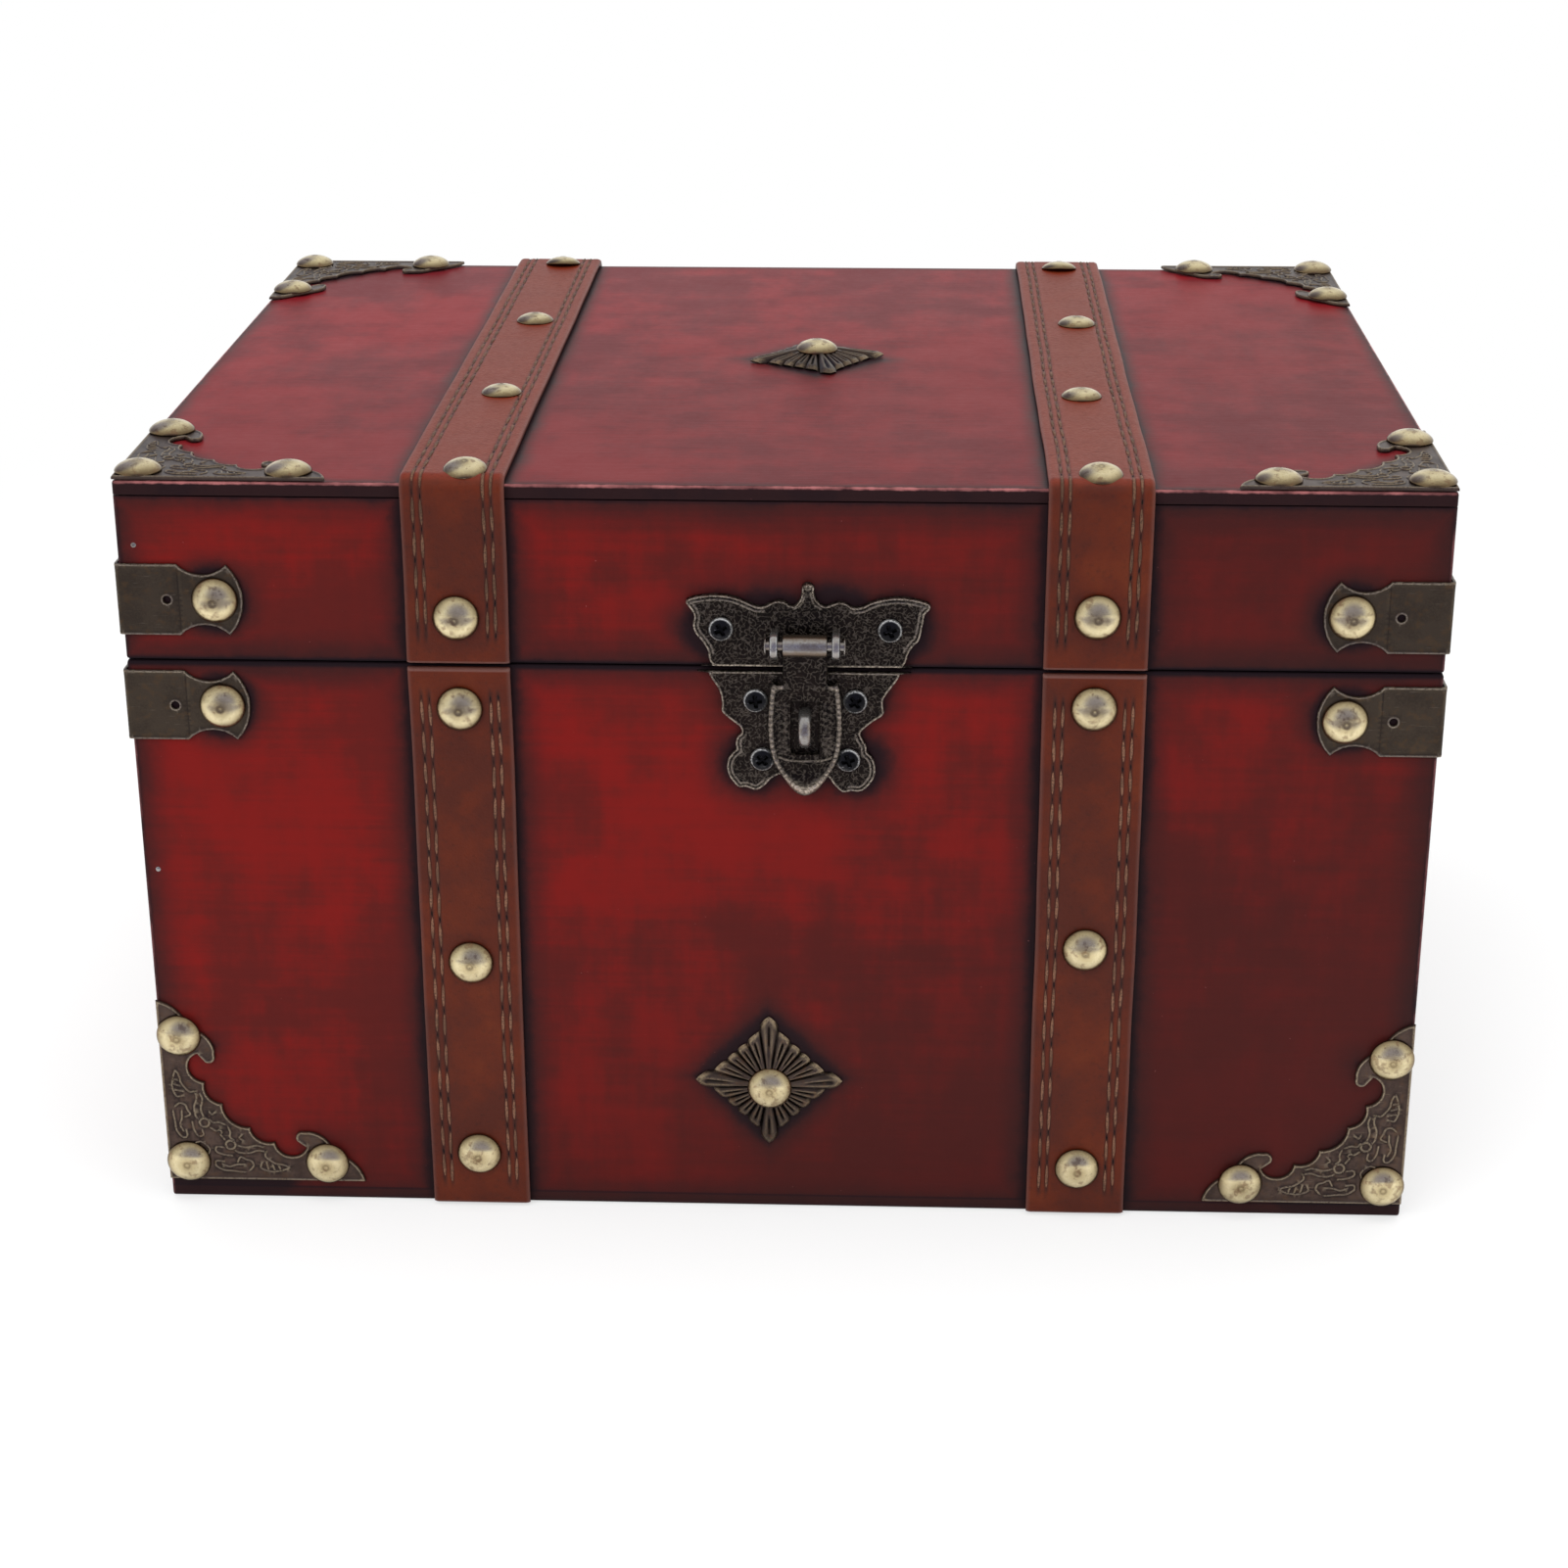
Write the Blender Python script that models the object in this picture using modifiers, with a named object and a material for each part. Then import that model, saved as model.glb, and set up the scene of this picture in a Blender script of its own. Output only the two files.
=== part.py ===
"""A small wooden treasure chest with leather straps and antique metal fittings.

The chest stands on the XY plane with the middle of its base at the origin, its
front towards -Y and its lid up. The lid turns about the pins of two butt hinges
on the back, and a butterfly hasp on the lid drops over a staple on the body.
Lengths are in metres.
"""
import math

import bmesh
import bpy
from mathutils import Matrix

MM = 0.001

# Boards
CHEST_WIDTH = 280 * MM
CHEST_DEPTH = 214 * MM
BODY_HEIGHT = 130.2 * MM
LID_HEIGHT = 39.5 * MM
WALL_THICKNESS = 8 * MM
BOTTOM_THICKNESS = 5 * MM
LID_TOP_THICKNESS = 3 * MM
BOARD_EDGE_ROUND = 0.6 * MM
PARTING_GAP = 0.3 * MM

# Fits
FIT_GAP = 0.3 * MM
CUT_OVERRUN = 1 * MM
WELD_DISTANCE = 0.001 * MM

# Domed brass nails, the same everywhere
STUD_RADIUS = 4.8 * MM
STUD_RISE = 2.5 * MM
NAIL_RADIUS = 0.8 * MM
NAIL_COVER = 1.2 * MM
STUD_RINGS = 3
STUD_SIDES = 10
HOLE_SIDES = 6

# Leather straps
STRAP_WIDTH = 22 * MM
STRAP_THICKNESS = 1.8 * MM
STRAP_BEND = 1 * MM
STRAP_END_INSET = 0.8 * MM
STRAP_EDGE_ROUND = 0.3 * MM
LEFT_STRAP_SHARE = 0.2443
RIGHT_STRAP_SHARE = 0.2379
BODY_STUD_SHARES = {"left": (0.104, 0.47, 0.929), "right": (0.094, 0.51, 0.941)}
LID_STUD_SHARES = {"left": 0.275, "right": 0.316}
TOP_STUD_DEPTH_SHARES = {
    "left": (-0.483, -0.186, 0.149, 0.463),
    "right": (-0.483, -0.184, 0.15, 0.452),
}
TOP_STUD_DRIFT_SHARES = {
    "left": (0.11, 0.096, 0.07, 0.065),
    "right": (0.0, -0.034, 0.076, 0.01),
}

# Corner plates
PLATE_ARM = 45 * MM
PLATE_THICKNESS = 0.6 * MM
PLATE_EDGE_INSET = 0.1 * MM
PLATE_STUD_INSET = 4.7 * MM
PLATE_STUD_REACH = 36.5 * MM
FRONT_PLATE_HEIGHT = {"left": 4.8 * MM, "right": 3.5 * MM}
PLATE_SHARES = (
    (1.0, 0.0, 0.018),
    (0.905, 0.133, 0.0),
    (0.827, 0.209, 0.022),
    (0.7, 0.275, 0.022),
    (0.662, 0.225, 0.0),
    (0.709, 0.187, -0.065),
    (0.549, 0.215, -0.036),
    (0.427, 0.295, -0.042),
)

# Fish-tail brackets round the front corners
BRACKET_LENGTH = 26.2 * MM
BRACKET_HEIGHT = 15.8 * MM
BRACKET_THICKNESS = 0.5 * MM
BRACKET_STUD_REACH = 20.2 * MM
BRACKET_HOLE_REACH = 10 * MM
BRACKET_HOLE_RADIUS = 0.85 * MM
BRACKET_SHARES = (
    (0.473, -1.0, -0.29),
    (0.878, -0.99, 0.405),
    (0.878, 0.99, -0.29),
    (0.473, 1.0, 0.0),
)
LID_BRACKET_HEIGHT = {"left": 13.7 * MM, "right": 12.4 * MM}
BODY_BRACKET_DROP = {"left": 9.8 * MM, "right": 10.5 * MM}

# Star rosettes
ROSETTE_TIP = 16.4 * MM
ROSETTE_SIDE = 15 * MM
ROSETTE_NOTCH = 0.9 * MM
ROSETTE_FLUTE = 0.5 * MM
ROSETTE_EDGE = 0.8 * MM
ROSETTE_RISE = 2.4 * MM
ROSETTE_PETALS = 20
ROSETTE_POINTS = 60
ROSETTE_TIP_SHARPNESS = 9
ROSETTE_SHOULDER_SHARE = 0.55
ROSETTE_STUD_SEAT = 2.2 * MM
FRONT_ROSETTE_OFFSET = -3 * MM
FRONT_ROSETTE_HEIGHT = 32.8 * MM
LID_ROSETTE_OFFSET = 4.6 * MM
LID_ROSETTE_DEPTH = 2.5 * MM
LID_ROSETTE_TURN = math.radians(13)

# Butterfly hasp
HASP_OFFSET = 5.4 * MM
HASP_PLATE_THICKNESS = 1.2 * MM
HASP_CLEARANCE = 0.4 * MM
HASP_EDGE_INSET = 0.4 * MM
LID_WINGS_WIDTH = 50.7 * MM
LID_WINGS_HEIGHT = 15.7 * MM
LID_WINGS_SHARES = (
    (0.773, 0.0, 0.0),
    (0.812, 0.1, 0.01),
    (0.87, 0.34, -0.008),
    (0.935, 0.52, 0.012),
    (0.941, 0.69, -0.02),
    (1.0, 0.9, 0.01),
    (0.95, 0.962, 0.035),
    (0.556, 0.946, -0.008),
    (0.37, 0.85, 0.035),
    (0.102, 0.84, 0.0),
    (0.045, 0.9, -0.005),
    (0.026, 1.03, 0.0),
    (0.034, 1.1, 0.018),
)
BODY_WINGS_WIDTH = 40.4 * MM
BODY_WINGS_HEIGHT = 27.2 * MM
BODY_WINGS_SHARES = (
    (0.0, -0.8, 0.0),
    (0.29, -0.865, -0.02),
    (0.433, -0.975, 0.012),
    (0.507, -1.0, 0.01),
    (0.75, -0.96, 0.05),
    (0.825, -0.77, 0.04),
    (0.73, -0.63, -0.01),
    (0.725, -0.57, -0.02),
    (0.67, -0.48, -0.01),
    (0.83, -0.36, 0.02),
    (0.874, -0.32, 0.015),
    (0.855, -0.24, -0.01),
    (1.0, -0.03, 0.01),
    (1.0, 0.0, 0.0),
)
HASP_PIN_HEIGHT = 5.7 * MM
HASP_PIN_RADIUS = 1.1 * MM
BARREL_RADIUS = 2.4 * MM
BARREL_LENGTH = 9.4 * MM
EAR_THICKNESS = 2 * MM
EAR_RADIUS = 2.7 * MM
PIN_HEAD_RADIUS = 2.2 * MM
PIN_HEAD_LENGTH = 0.8 * MM
TONGUE_LENGTH = 33.2 * MM
TONGUE_WIDTH = 15.9 * MM
TONGUE_THICKNESS = 1.4 * MM
TONGUE_SHOULDER_DROP = 8.7 * MM
TONGUE_SHARES = (
    (0.06, -1.0, 0.09),
    (0.95, -0.67, 0.06),
    (0.92, -0.262, 0.0),
)
CURL_DROP = 27 * MM
CURL_RADIUS = 5 * MM
CURL_ANGLE = math.radians(60)
SLOT_WIDTH = 6 * MM
SLOT_TOP_DROP = 12.9 * MM
SLOT_BOTTOM_DROP = 24.8 * MM
STAPLE_WIDTH = 2.7 * MM
STAPLE_HEIGHT = 8.4 * MM
STAPLE_REACH = 6 * MM
STAPLE_BAR = 1.9 * MM
HASP_SCREW_RADIUS = 2.6 * MM
HASP_SCREW_RISE = 1.2 * MM
HASP_SCREW_CORE = 1.1 * MM
LID_SCREW_SHARES = (0.704, 0.54)
UPPER_SCREW_SHARES = (0.525, -0.235)
LOWER_SCREW_SHARES = (0.455, -0.725)

# Butt hinges on the back
HINGE_WIDTH_SHARE = 0.375
HINGE_WIDTH = 30 * MM
HINGE_LEAF_HEIGHT = 16 * MM
HINGE_LEAF_THICKNESS = 1.2 * MM
HINGE_KNUCKLES = 3
KNUCKLE_RADIUS = 2.3 * MM
HINGE_PIN_RADIUS = 1 * MM
HINGE_SCREW_SPREAD = 18 * MM
HINGE_SCREW_HEIGHT = 10 * MM
HINGE_SCREW_RADIUS = 2.2 * MM
HINGE_SCREW_RISE = 0.9 * MM
HINGE_SCREW_CORE = 0.8 * MM

# Roundness
ARC_TURN = math.radians(30)
ROUND_SIDES = 14
BORE_SIDES = 8
SMOOTH_ANGLE = math.radians(35)
FLAT_ANGLE = math.radians(0.5)
QUARTER_TURN = math.radians(90)
HALF_TURN = math.radians(180)

LID_BASE = BODY_HEIGHT + PARTING_GAP
CHEST_HEIGHT = LID_BASE + LID_HEIGHT
NAIL_BITE = LID_TOP_THICKNESS - NAIL_COVER
SCREW_BITE = WALL_THICKNESS - NAIL_COVER
STRAP_NAIL_LENGTH = 2 * FIT_GAP + STRAP_THICKNESS + NAIL_BITE
HASP_SCREW_LENGTH = 2 * FIT_GAP + HASP_PLATE_THICKNESS + SCREW_BITE
HINGE_AXIS_Y = CHEST_DEPTH / 2 + FIT_GAP + KNUCKLE_RADIUS
HINGE_AXIS_Z = BODY_HEIGHT + PARTING_GAP / 2
LID_WINGS_BASE = LID_BASE + HASP_EDGE_INSET
BODY_WINGS_TOP = BODY_HEIGHT - HASP_EDGE_INSET
HASP_AXIS_OUT = FIT_GAP + HASP_PLATE_THICKNESS + HASP_CLEARANCE + BARREL_RADIUS
HASP_AXIS_Y = -CHEST_DEPTH / 2 - HASP_AXIS_OUT
HASP_AXIS_Z = LID_WINGS_BASE + HASP_PIN_HEIGHT
STAPLE_CENTRE_Z = HASP_AXIS_Z - (SLOT_TOP_DROP + SLOT_BOTTOM_DROP) / 2

# Colour, roughness and metallic value of each finish
FINISHES = {
    "red_wood": ((0.19, 0.018, 0.017), 0.42, 0.0),
    "strap_leather": ((0.13, 0.035, 0.018), 0.5, 0.0),
    "antique_bronze": ((0.07, 0.055, 0.042), 0.45, 0.9),
    "stud_brass": ((0.55, 0.47, 0.26), 0.28, 1.0),
    "hasp_bronze": ((0.035, 0.028, 0.022), 0.5, 0.9),
    "screw_black": ((0.02, 0.02, 0.022), 0.4, 0.8),
    "pin_steel": ((0.4, 0.36, 0.3), 0.3, 1.0),
}


def clear_scene():
    """Remove every object of the open file."""
    for item in list(bpy.data.objects):
        bpy.data.objects.remove(item, do_unlink=True)


def make_collection(name):
    """Add a collection to the scene."""
    collection = bpy.data.collections.new(name)
    bpy.context.scene.collection.children.link(collection)
    return collection


def make_finish(name):
    """Make the material of one finish."""
    colour, roughness, metallic = FINISHES[name]
    material = bpy.data.materials.new(name)
    material.use_nodes = True
    shader = material.node_tree.nodes["Principled BSDF"]
    shader.inputs["Base Color"].default_value = (*colour, 1.0)
    shader.inputs["Roughness"].default_value = roughness
    shader.inputs["Metallic"].default_value = metallic
    material.diffuse_color = (*colour, 1.0)
    return material


def make_axis(name, place, parent):
    """Add an empty that carries the pieces of one body."""
    axis = bpy.data.objects.new(name, None)
    PARTS.objects.link(axis)
    axis.parent = parent
    bpy.context.view_layer.update()
    base = parent.matrix_world if parent else Matrix()
    axis.matrix_basis = base.inverted() @ place
    bpy.context.view_layer.update()
    return axis


def side_frame(side):
    """Frame of an outer side of the chest: x runs right, y up and z out of it."""
    if side == "top":
        return Matrix.Translation((0, 0, CHEST_HEIGHT))
    turns = {"front": 0, "right": 1, "back": 2, "left": 3}[side]
    reach = CHEST_DEPTH / 2 if side in ("front", "back") else CHEST_WIDTH / 2
    upright = Matrix.Rotation(QUARTER_TURN, 4, "X")
    facing = Matrix.Rotation(QUARTER_TURN * turns, 4, "Z")
    return facing @ Matrix.Translation((0, -reach, 0)) @ upright


def on_side(side, right, up, out=FIT_GAP):
    """Place on a side, a given way out from the wood."""
    return side_frame(side) @ Matrix.Translation((right, up, out))


def lengthwise(middle):
    """Place that lays a piece turned about Z along X instead."""
    return Matrix.Translation(middle) @ Matrix.Rotation(QUARTER_TURN, 4, "Y")


def cross_section(middle, width):
    """Place that reads an outline as Y and Z and centres its thickness on an X."""
    return Matrix.Translation((middle - width / 2, 0, 0)) @ side_frame_turn()


def side_frame_turn():
    """Turn that carries x to Y, y to Z and z to X."""
    facing = Matrix.Rotation(QUARTER_TURN, 4, "Z")
    return facing @ Matrix.Rotation(QUARTER_TURN, 4, "X")


def shade(mesh):
    """Smooth the round stretches of a mesh and keep its edges sharp."""
    mesh.shade_smooth()
    mesh.set_sharp_from_angle(angle=SMOOTH_ANGLE)
    return mesh


def bake(item, name):
    """Turn an object's curve or modifiers into a welded mesh and drop the object."""
    CUTTERS.objects.link(item)
    bpy.context.view_layer.update()
    graph = bpy.context.evaluated_depsgraph_get()
    mesh = bpy.data.meshes.new_from_object(item.evaluated_get(graph))
    bpy.data.objects.remove(item, do_unlink=True)
    mesh.name = name
    shape = bmesh.new()
    shape.from_mesh(mesh)
    bmesh.ops.remove_doubles(shape, verts=shape.verts, dist=WELD_DISTANCE)
    bmesh.ops.dissolve_limit(
        shape, angle_limit=FLAT_ANGLE, use_dissolve_boundaries=False,
        verts=shape.verts, edges=shape.edges)
    bmesh.ops.recalc_face_normals(shape, faces=shape.faces)
    shape.to_mesh(mesh)
    shape.free()
    return shade(mesh)


def box_mesh(name, low, high):
    """Mesh of a box between two corners."""
    size = [top - bottom for bottom, top in zip(low, high)]
    middle = [(top + bottom) / 2 for bottom, top in zip(low, high)]
    shape = bmesh.new()
    place = Matrix.Translation(middle) @ Matrix.Diagonal((*size, 1))
    bmesh.ops.create_cube(shape, size=1, matrix=place)
    mesh = bpy.data.meshes.new(name)
    shape.to_mesh(mesh)
    shape.free()
    return mesh


def cylinder_mesh(name, radius, length, sides=ROUND_SIDES):
    """Mesh of a cylinder along Z, centred, with a flat of its side towards each axis."""
    shape = bmesh.new()
    bmesh.ops.create_cone(
        shape, cap_ends=True, segments=sides, radius1=radius, radius2=radius,
        depth=length, matrix=Matrix.Rotation(math.pi / sides, 4, "Z"))
    mesh = bpy.data.meshes.new(name)
    shape.to_mesh(mesh)
    shape.free()
    return shade(mesh)


def turned_mesh(name, profile, sides=ROUND_SIDES):
    """Mesh turned about Z from points of radius and height, top to bottom."""
    mesh = bpy.data.meshes.new(name + "_profile")
    points = [(radius, 0, height) for radius, height in profile]
    chain = [(index, index + 1) for index in range(len(points) - 1)]
    mesh.from_pydata(points, chain, [])
    item = bpy.data.objects.new(name, mesh)
    screw = item.modifiers.new("turn", "SCREW")
    screw.steps = sides
    screw.render_steps = sides
    screw.use_merge_vertices = True
    screw.merge_threshold = WELD_DISTANCE
    return bake(item, name)


def bowed(start, end, bow):
    """Points of an arc past its start; a positive bow swells to the right of the way."""
    if bow == 0:
        return [end]
    run = (end[0] - start[0], end[1] - start[1])
    half = math.hypot(*run) / 2
    middle = ((start[0] + end[0]) / 2, (start[1] + end[1]) / 2)
    reach = 2 * math.atan(bow / half)
    steps = math.ceil(2 * abs(reach) / ARC_TURN)
    points = []
    for step in range(1, steps + 1):
        angle = reach * (2 * step / steps - 1)
        along = math.sin(angle) / math.sin(reach) / 2
        aside = (math.cos(angle) - math.cos(reach)) / math.sin(reach) / 2
        points.append((
            middle[0] + along * run[0] + aside * run[1],
            middle[1] + along * run[1] - aside * run[0]))
    return points


def closed_outline(corners):
    """Outline through corners, each given with the bow of the stretch after it."""
    points = []
    for index, (x, y, bow) in enumerate(corners):
        after = corners[(index + 1) % len(corners)]
        points += bowed((x, y), after[:2], bow)
    return points


def scaled(shares, width, height):
    """Corners from shares of a width and a height; bows are shares of the width."""
    return [(x * width, y * height, bow * width) for x, y, bow in shares]


def mirrored(half):
    """Corners of a whole outline from those of its right half, bottom to top."""
    bows_before = [0] + [bow for _, _, bow in half[:-1]]
    left = [(-x, y, bow) for (x, y, _), bow in zip(half, bows_before)]
    return half + left[::-1]


def prism_mesh(name, outline, thickness):
    """Flat plate of a closed outline in XY, from Z zero up to its thickness."""
    curve = bpy.data.curves.new(name + "_outline", "CURVE")
    curve.dimensions = "2D"
    curve.fill_mode = "BOTH"
    curve.extrude = thickness / 2
    spline = curve.splines.new("POLY")
    spline.points.add(len(outline) - 1)
    for point, (x, y) in zip(spline.points, outline):
        point.co = (x, y, 0, 1)
    spline.use_cyclic_u = True
    mesh = bake(bpy.data.objects.new(name, curve), name)
    mesh.transform(Matrix.Translation((0, 0, thickness / 2)))
    return mesh


def joined_mesh(name, pieces):
    """One mesh of several, each given with its place."""
    shape = bmesh.new()
    for mesh, place in pieces:
        moved = mesh.copy()
        moved.transform(place)
        shape.from_mesh(moved)
        bpy.data.meshes.remove(moved)
    mesh = bpy.data.meshes.new(name)
    shape.to_mesh(mesh)
    shape.free()
    return shade(mesh)


def set_place(item, place, body):
    """Hang an object on a body's axis at a place in the world."""
    item.parent = body
    item.matrix_basis = body.matrix_world.inverted() @ place


def add_part(name, mesh, place, body, finish):
    """Add a named piece of the chest."""
    part = bpy.data.objects.new(name, mesh)
    PARTS.objects.link(part)
    set_place(part, place, body)
    if not mesh.materials:
        mesh.materials.append(MATERIALS[finish])
    return part


def combine(part, operation, mesh, place, solver="EXACT"):
    """Join a solid to a part, cut the part with it or keep what they share."""
    tool = bpy.data.objects.new(part.name + "_" + mesh.name, mesh)
    CUTTERS.objects.link(tool)
    set_place(tool, place, part.parent)
    tool.hide_render = True
    tool.display_type = "WIRE"
    boolean = part.modifiers.new(mesh.name, "BOOLEAN")
    boolean.operation = operation
    boolean.object = tool
    boolean.solver = solver


def round_edges(part, width, segments):
    """Round the edges of a part."""
    bevel = part.modifiers.new("edges", "BEVEL")
    bevel.width = width
    bevel.segments = segments
    bevel.limit_method = "ANGLE"


def open_radius(radius, sides):
    """Radius of a faceted hole that stays clear of a round pin."""
    return (radius + FIT_GAP) / math.cos(math.pi / sides)


def bore_mesh(radius, length):
    """Mesh of a hole in which a pin of a given radius turns freely."""
    return cylinder_mesh("pin_bore", open_radius(radius, BORE_SIDES), length, BORE_SIDES)


def drill(names, place, radius, depth):
    """Note a hole for a nail or screw in the named parts."""
    for name in names:
        HOLES.setdefault(name, []).append((place, radius, depth))


def cut_holes():
    """Cut the noted holes, all those of a part with one cutter."""
    for name, holes in HOLES.items():
        part = PARTS.objects[name]
        pieces = []
        for place, radius, depth in holes:
            length = depth + CUT_OVERRUN
            bit = cylinder_mesh("bit", open_radius(radius, HOLE_SIDES), length, HOLE_SIDES)
            pieces.append((bit, place @ Matrix.Translation((0, 0, CUT_OVERRUN - length / 2))))
        combine(part, "DIFFERENCE", joined_mesh("holes", pieces), Matrix())


def headed_profile(head_radius, rise, core_radius, length, rings):
    """Profile of a domed head on a straight shank, down from its top."""
    dome = (head_radius ** 2 + rise ** 2) / (2 * rise)
    half = math.asin(head_radius / dome)
    profile = []
    for ring in range(rings + 1):
        angle = half * ring / rings
        profile.append((dome * math.sin(angle), rise - dome * (1 - math.cos(angle))))
    return profile + [(core_radius, 0), (core_radius, -length), (0, -length)]


def stud_mesh(name, length):
    """Domed nail with its head's underside at Z zero."""
    profile = headed_profile(STUD_RADIUS, STUD_RISE, NAIL_RADIUS, length, STUD_RINGS)
    return turned_mesh(name, profile, STUD_SIDES)


def fuse_studs(part, places, thickness, board):
    """Nail a thin piece down with studs that are one solid with it from half its depth."""
    length = thickness / 2 + FIT_GAP + NAIL_BITE
    stud = stud_mesh("stud", length)
    combine(part, "UNION", joined_mesh("studs", [(stud, place) for place in places]), Matrix())
    for place in places:
        drill((board,), place, NAIL_RADIUS, length + FIT_GAP)


def block_mesh(name, low_z, high_z):
    """Outer form of the box or of its lid, sanded round along its edges."""
    low = (-CHEST_WIDTH / 2, -CHEST_DEPTH / 2, low_z)
    high = (CHEST_WIDTH / 2, CHEST_DEPTH / 2, high_z)
    item = bpy.data.objects.new(name, box_mesh(name, low, high))
    round_edges(item, BOARD_EDGE_ROUND, 2)
    return bake(item, name)


def add_board(name, low, high, block, body):
    """Add a board between two corners, trimmed to the outer form it belongs to."""
    board = add_part(name, box_mesh(name, low, high), Matrix(), body, "red_wood")
    combine(board, "INTERSECT", block, Matrix())


def add_frame(names, low_z, high_z, block, body):
    """Add four walls: front and back run the full width, the sides fit between."""
    front, back, left, right = names
    out_x = CHEST_WIDTH / 2 + CUT_OVERRUN
    out_y = CHEST_DEPTH / 2 + CUT_OVERRUN
    inner_x = CHEST_WIDTH / 2 - WALL_THICKNESS
    inner_y = CHEST_DEPTH / 2 - WALL_THICKNESS
    side_y = inner_y - FIT_GAP
    add_board(front, (-out_x, -out_y, low_z), (out_x, -inner_y, high_z), block, body)
    add_board(back, (-out_x, inner_y, low_z), (out_x, out_y, high_z), block, body)
    add_board(left, (-out_x, -side_y, low_z), (-inner_x, side_y, high_z), block, body)
    add_board(right, (inner_x, -side_y, low_z), (out_x, side_y, high_z), block, body)


def add_boards():
    """Build the box and its lid from boards, each trimmed by a rounded block."""
    walls = ("front_panel", "back_panel", "left_side_panel", "right_side_panel")
    rails = ("lid_front_rail", "lid_back_rail", "lid_left_rail", "lid_right_rail")
    inside_x = CHEST_WIDTH / 2 - WALL_THICKNESS - FIT_GAP
    inside_y = CHEST_DEPTH / 2 - WALL_THICKNESS - FIT_GAP
    out_x = CHEST_WIDTH / 2 + CUT_OVERRUN
    out_y = CHEST_DEPTH / 2 + CUT_OVERRUN
    top_z = CHEST_HEIGHT - LID_TOP_THICKNESS
    box_form = block_mesh("box_form", 0, BODY_HEIGHT)
    lid_form = block_mesh("lid_form", LID_BASE, CHEST_HEIGHT)
    add_frame(walls, -CUT_OVERRUN, BODY_HEIGHT + CUT_OVERRUN, box_form, CHEST)
    bottom_low = (-inside_x, -inside_y, -CUT_OVERRUN)
    bottom_high = (inside_x, inside_y, BOTTOM_THICKNESS)
    add_board("bottom_panel", bottom_low, bottom_high, box_form, CHEST)
    add_frame(rails, LID_BASE - CUT_OVERRUN, top_z - FIT_GAP, lid_form, LID)
    top_low = (-out_x, -out_y, top_z)
    top_high = (out_x, out_y, CHEST_HEIGHT + CUT_OVERRUN)
    add_board("lid_top_panel", top_low, top_high, lid_form, LID)


def lid_strap_outline():
    """Outline, in Y and Z, of a strap folded over the lid from front to back."""
    low = LID_BASE + STRAP_END_INSET
    inner_y = CHEST_DEPTH / 2 + FIT_GAP
    inner_z = CHEST_HEIGHT + FIT_GAP
    outer_y = inner_y + STRAP_THICKNESS
    outer_z = inner_z + STRAP_THICKNESS
    outer_bend = STRAP_BEND + STRAP_THICKNESS
    quarter_bow = 1 - math.cos(QUARTER_TURN / 2)
    outer = [
        (outer_y, low, 0),
        (outer_y, outer_z - outer_bend, quarter_bow * outer_bend),
        (outer_y - outer_bend, outer_z, 0),
        (outer_bend - outer_y, outer_z, quarter_bow * outer_bend),
        (-outer_y, outer_z - outer_bend, 0),
        (-outer_y, low, 0),
    ]
    inner = [
        (-inner_y, low, 0),
        (-inner_y, inner_z - STRAP_BEND, -quarter_bow * STRAP_BEND),
        (STRAP_BEND - inner_y, inner_z, 0),
        (inner_y - STRAP_BEND, inner_z, -quarter_bow * STRAP_BEND),
        (inner_y, inner_z - STRAP_BEND, 0),
        (inner_y, low, 0),
    ]
    return closed_outline(outer + inner)


def add_body_strap(name, side, across):
    """Add a flat strap up a side of the body."""
    low = (-STRAP_WIDTH / 2, STRAP_END_INSET, 0)
    high = (STRAP_WIDTH / 2, BODY_HEIGHT - STRAP_END_INSET, STRAP_THICKNESS)
    mesh = box_mesh(name, low, high)
    strap = add_part(name, mesh, on_side(side, across, 0), CHEST, "strap_leather")
    round_edges(strap, STRAP_EDGE_ROUND, 1)
    return strap


def add_stud(name, place, strap, board, body):
    """Add a domed nail that holds a strap to a board."""
    add_part(name, STUD_SHAPE, place, body, "stud_brass")
    drill((strap, board), place, NAIL_RADIUS, STRAP_NAIL_LENGTH + FIT_GAP)


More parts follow.
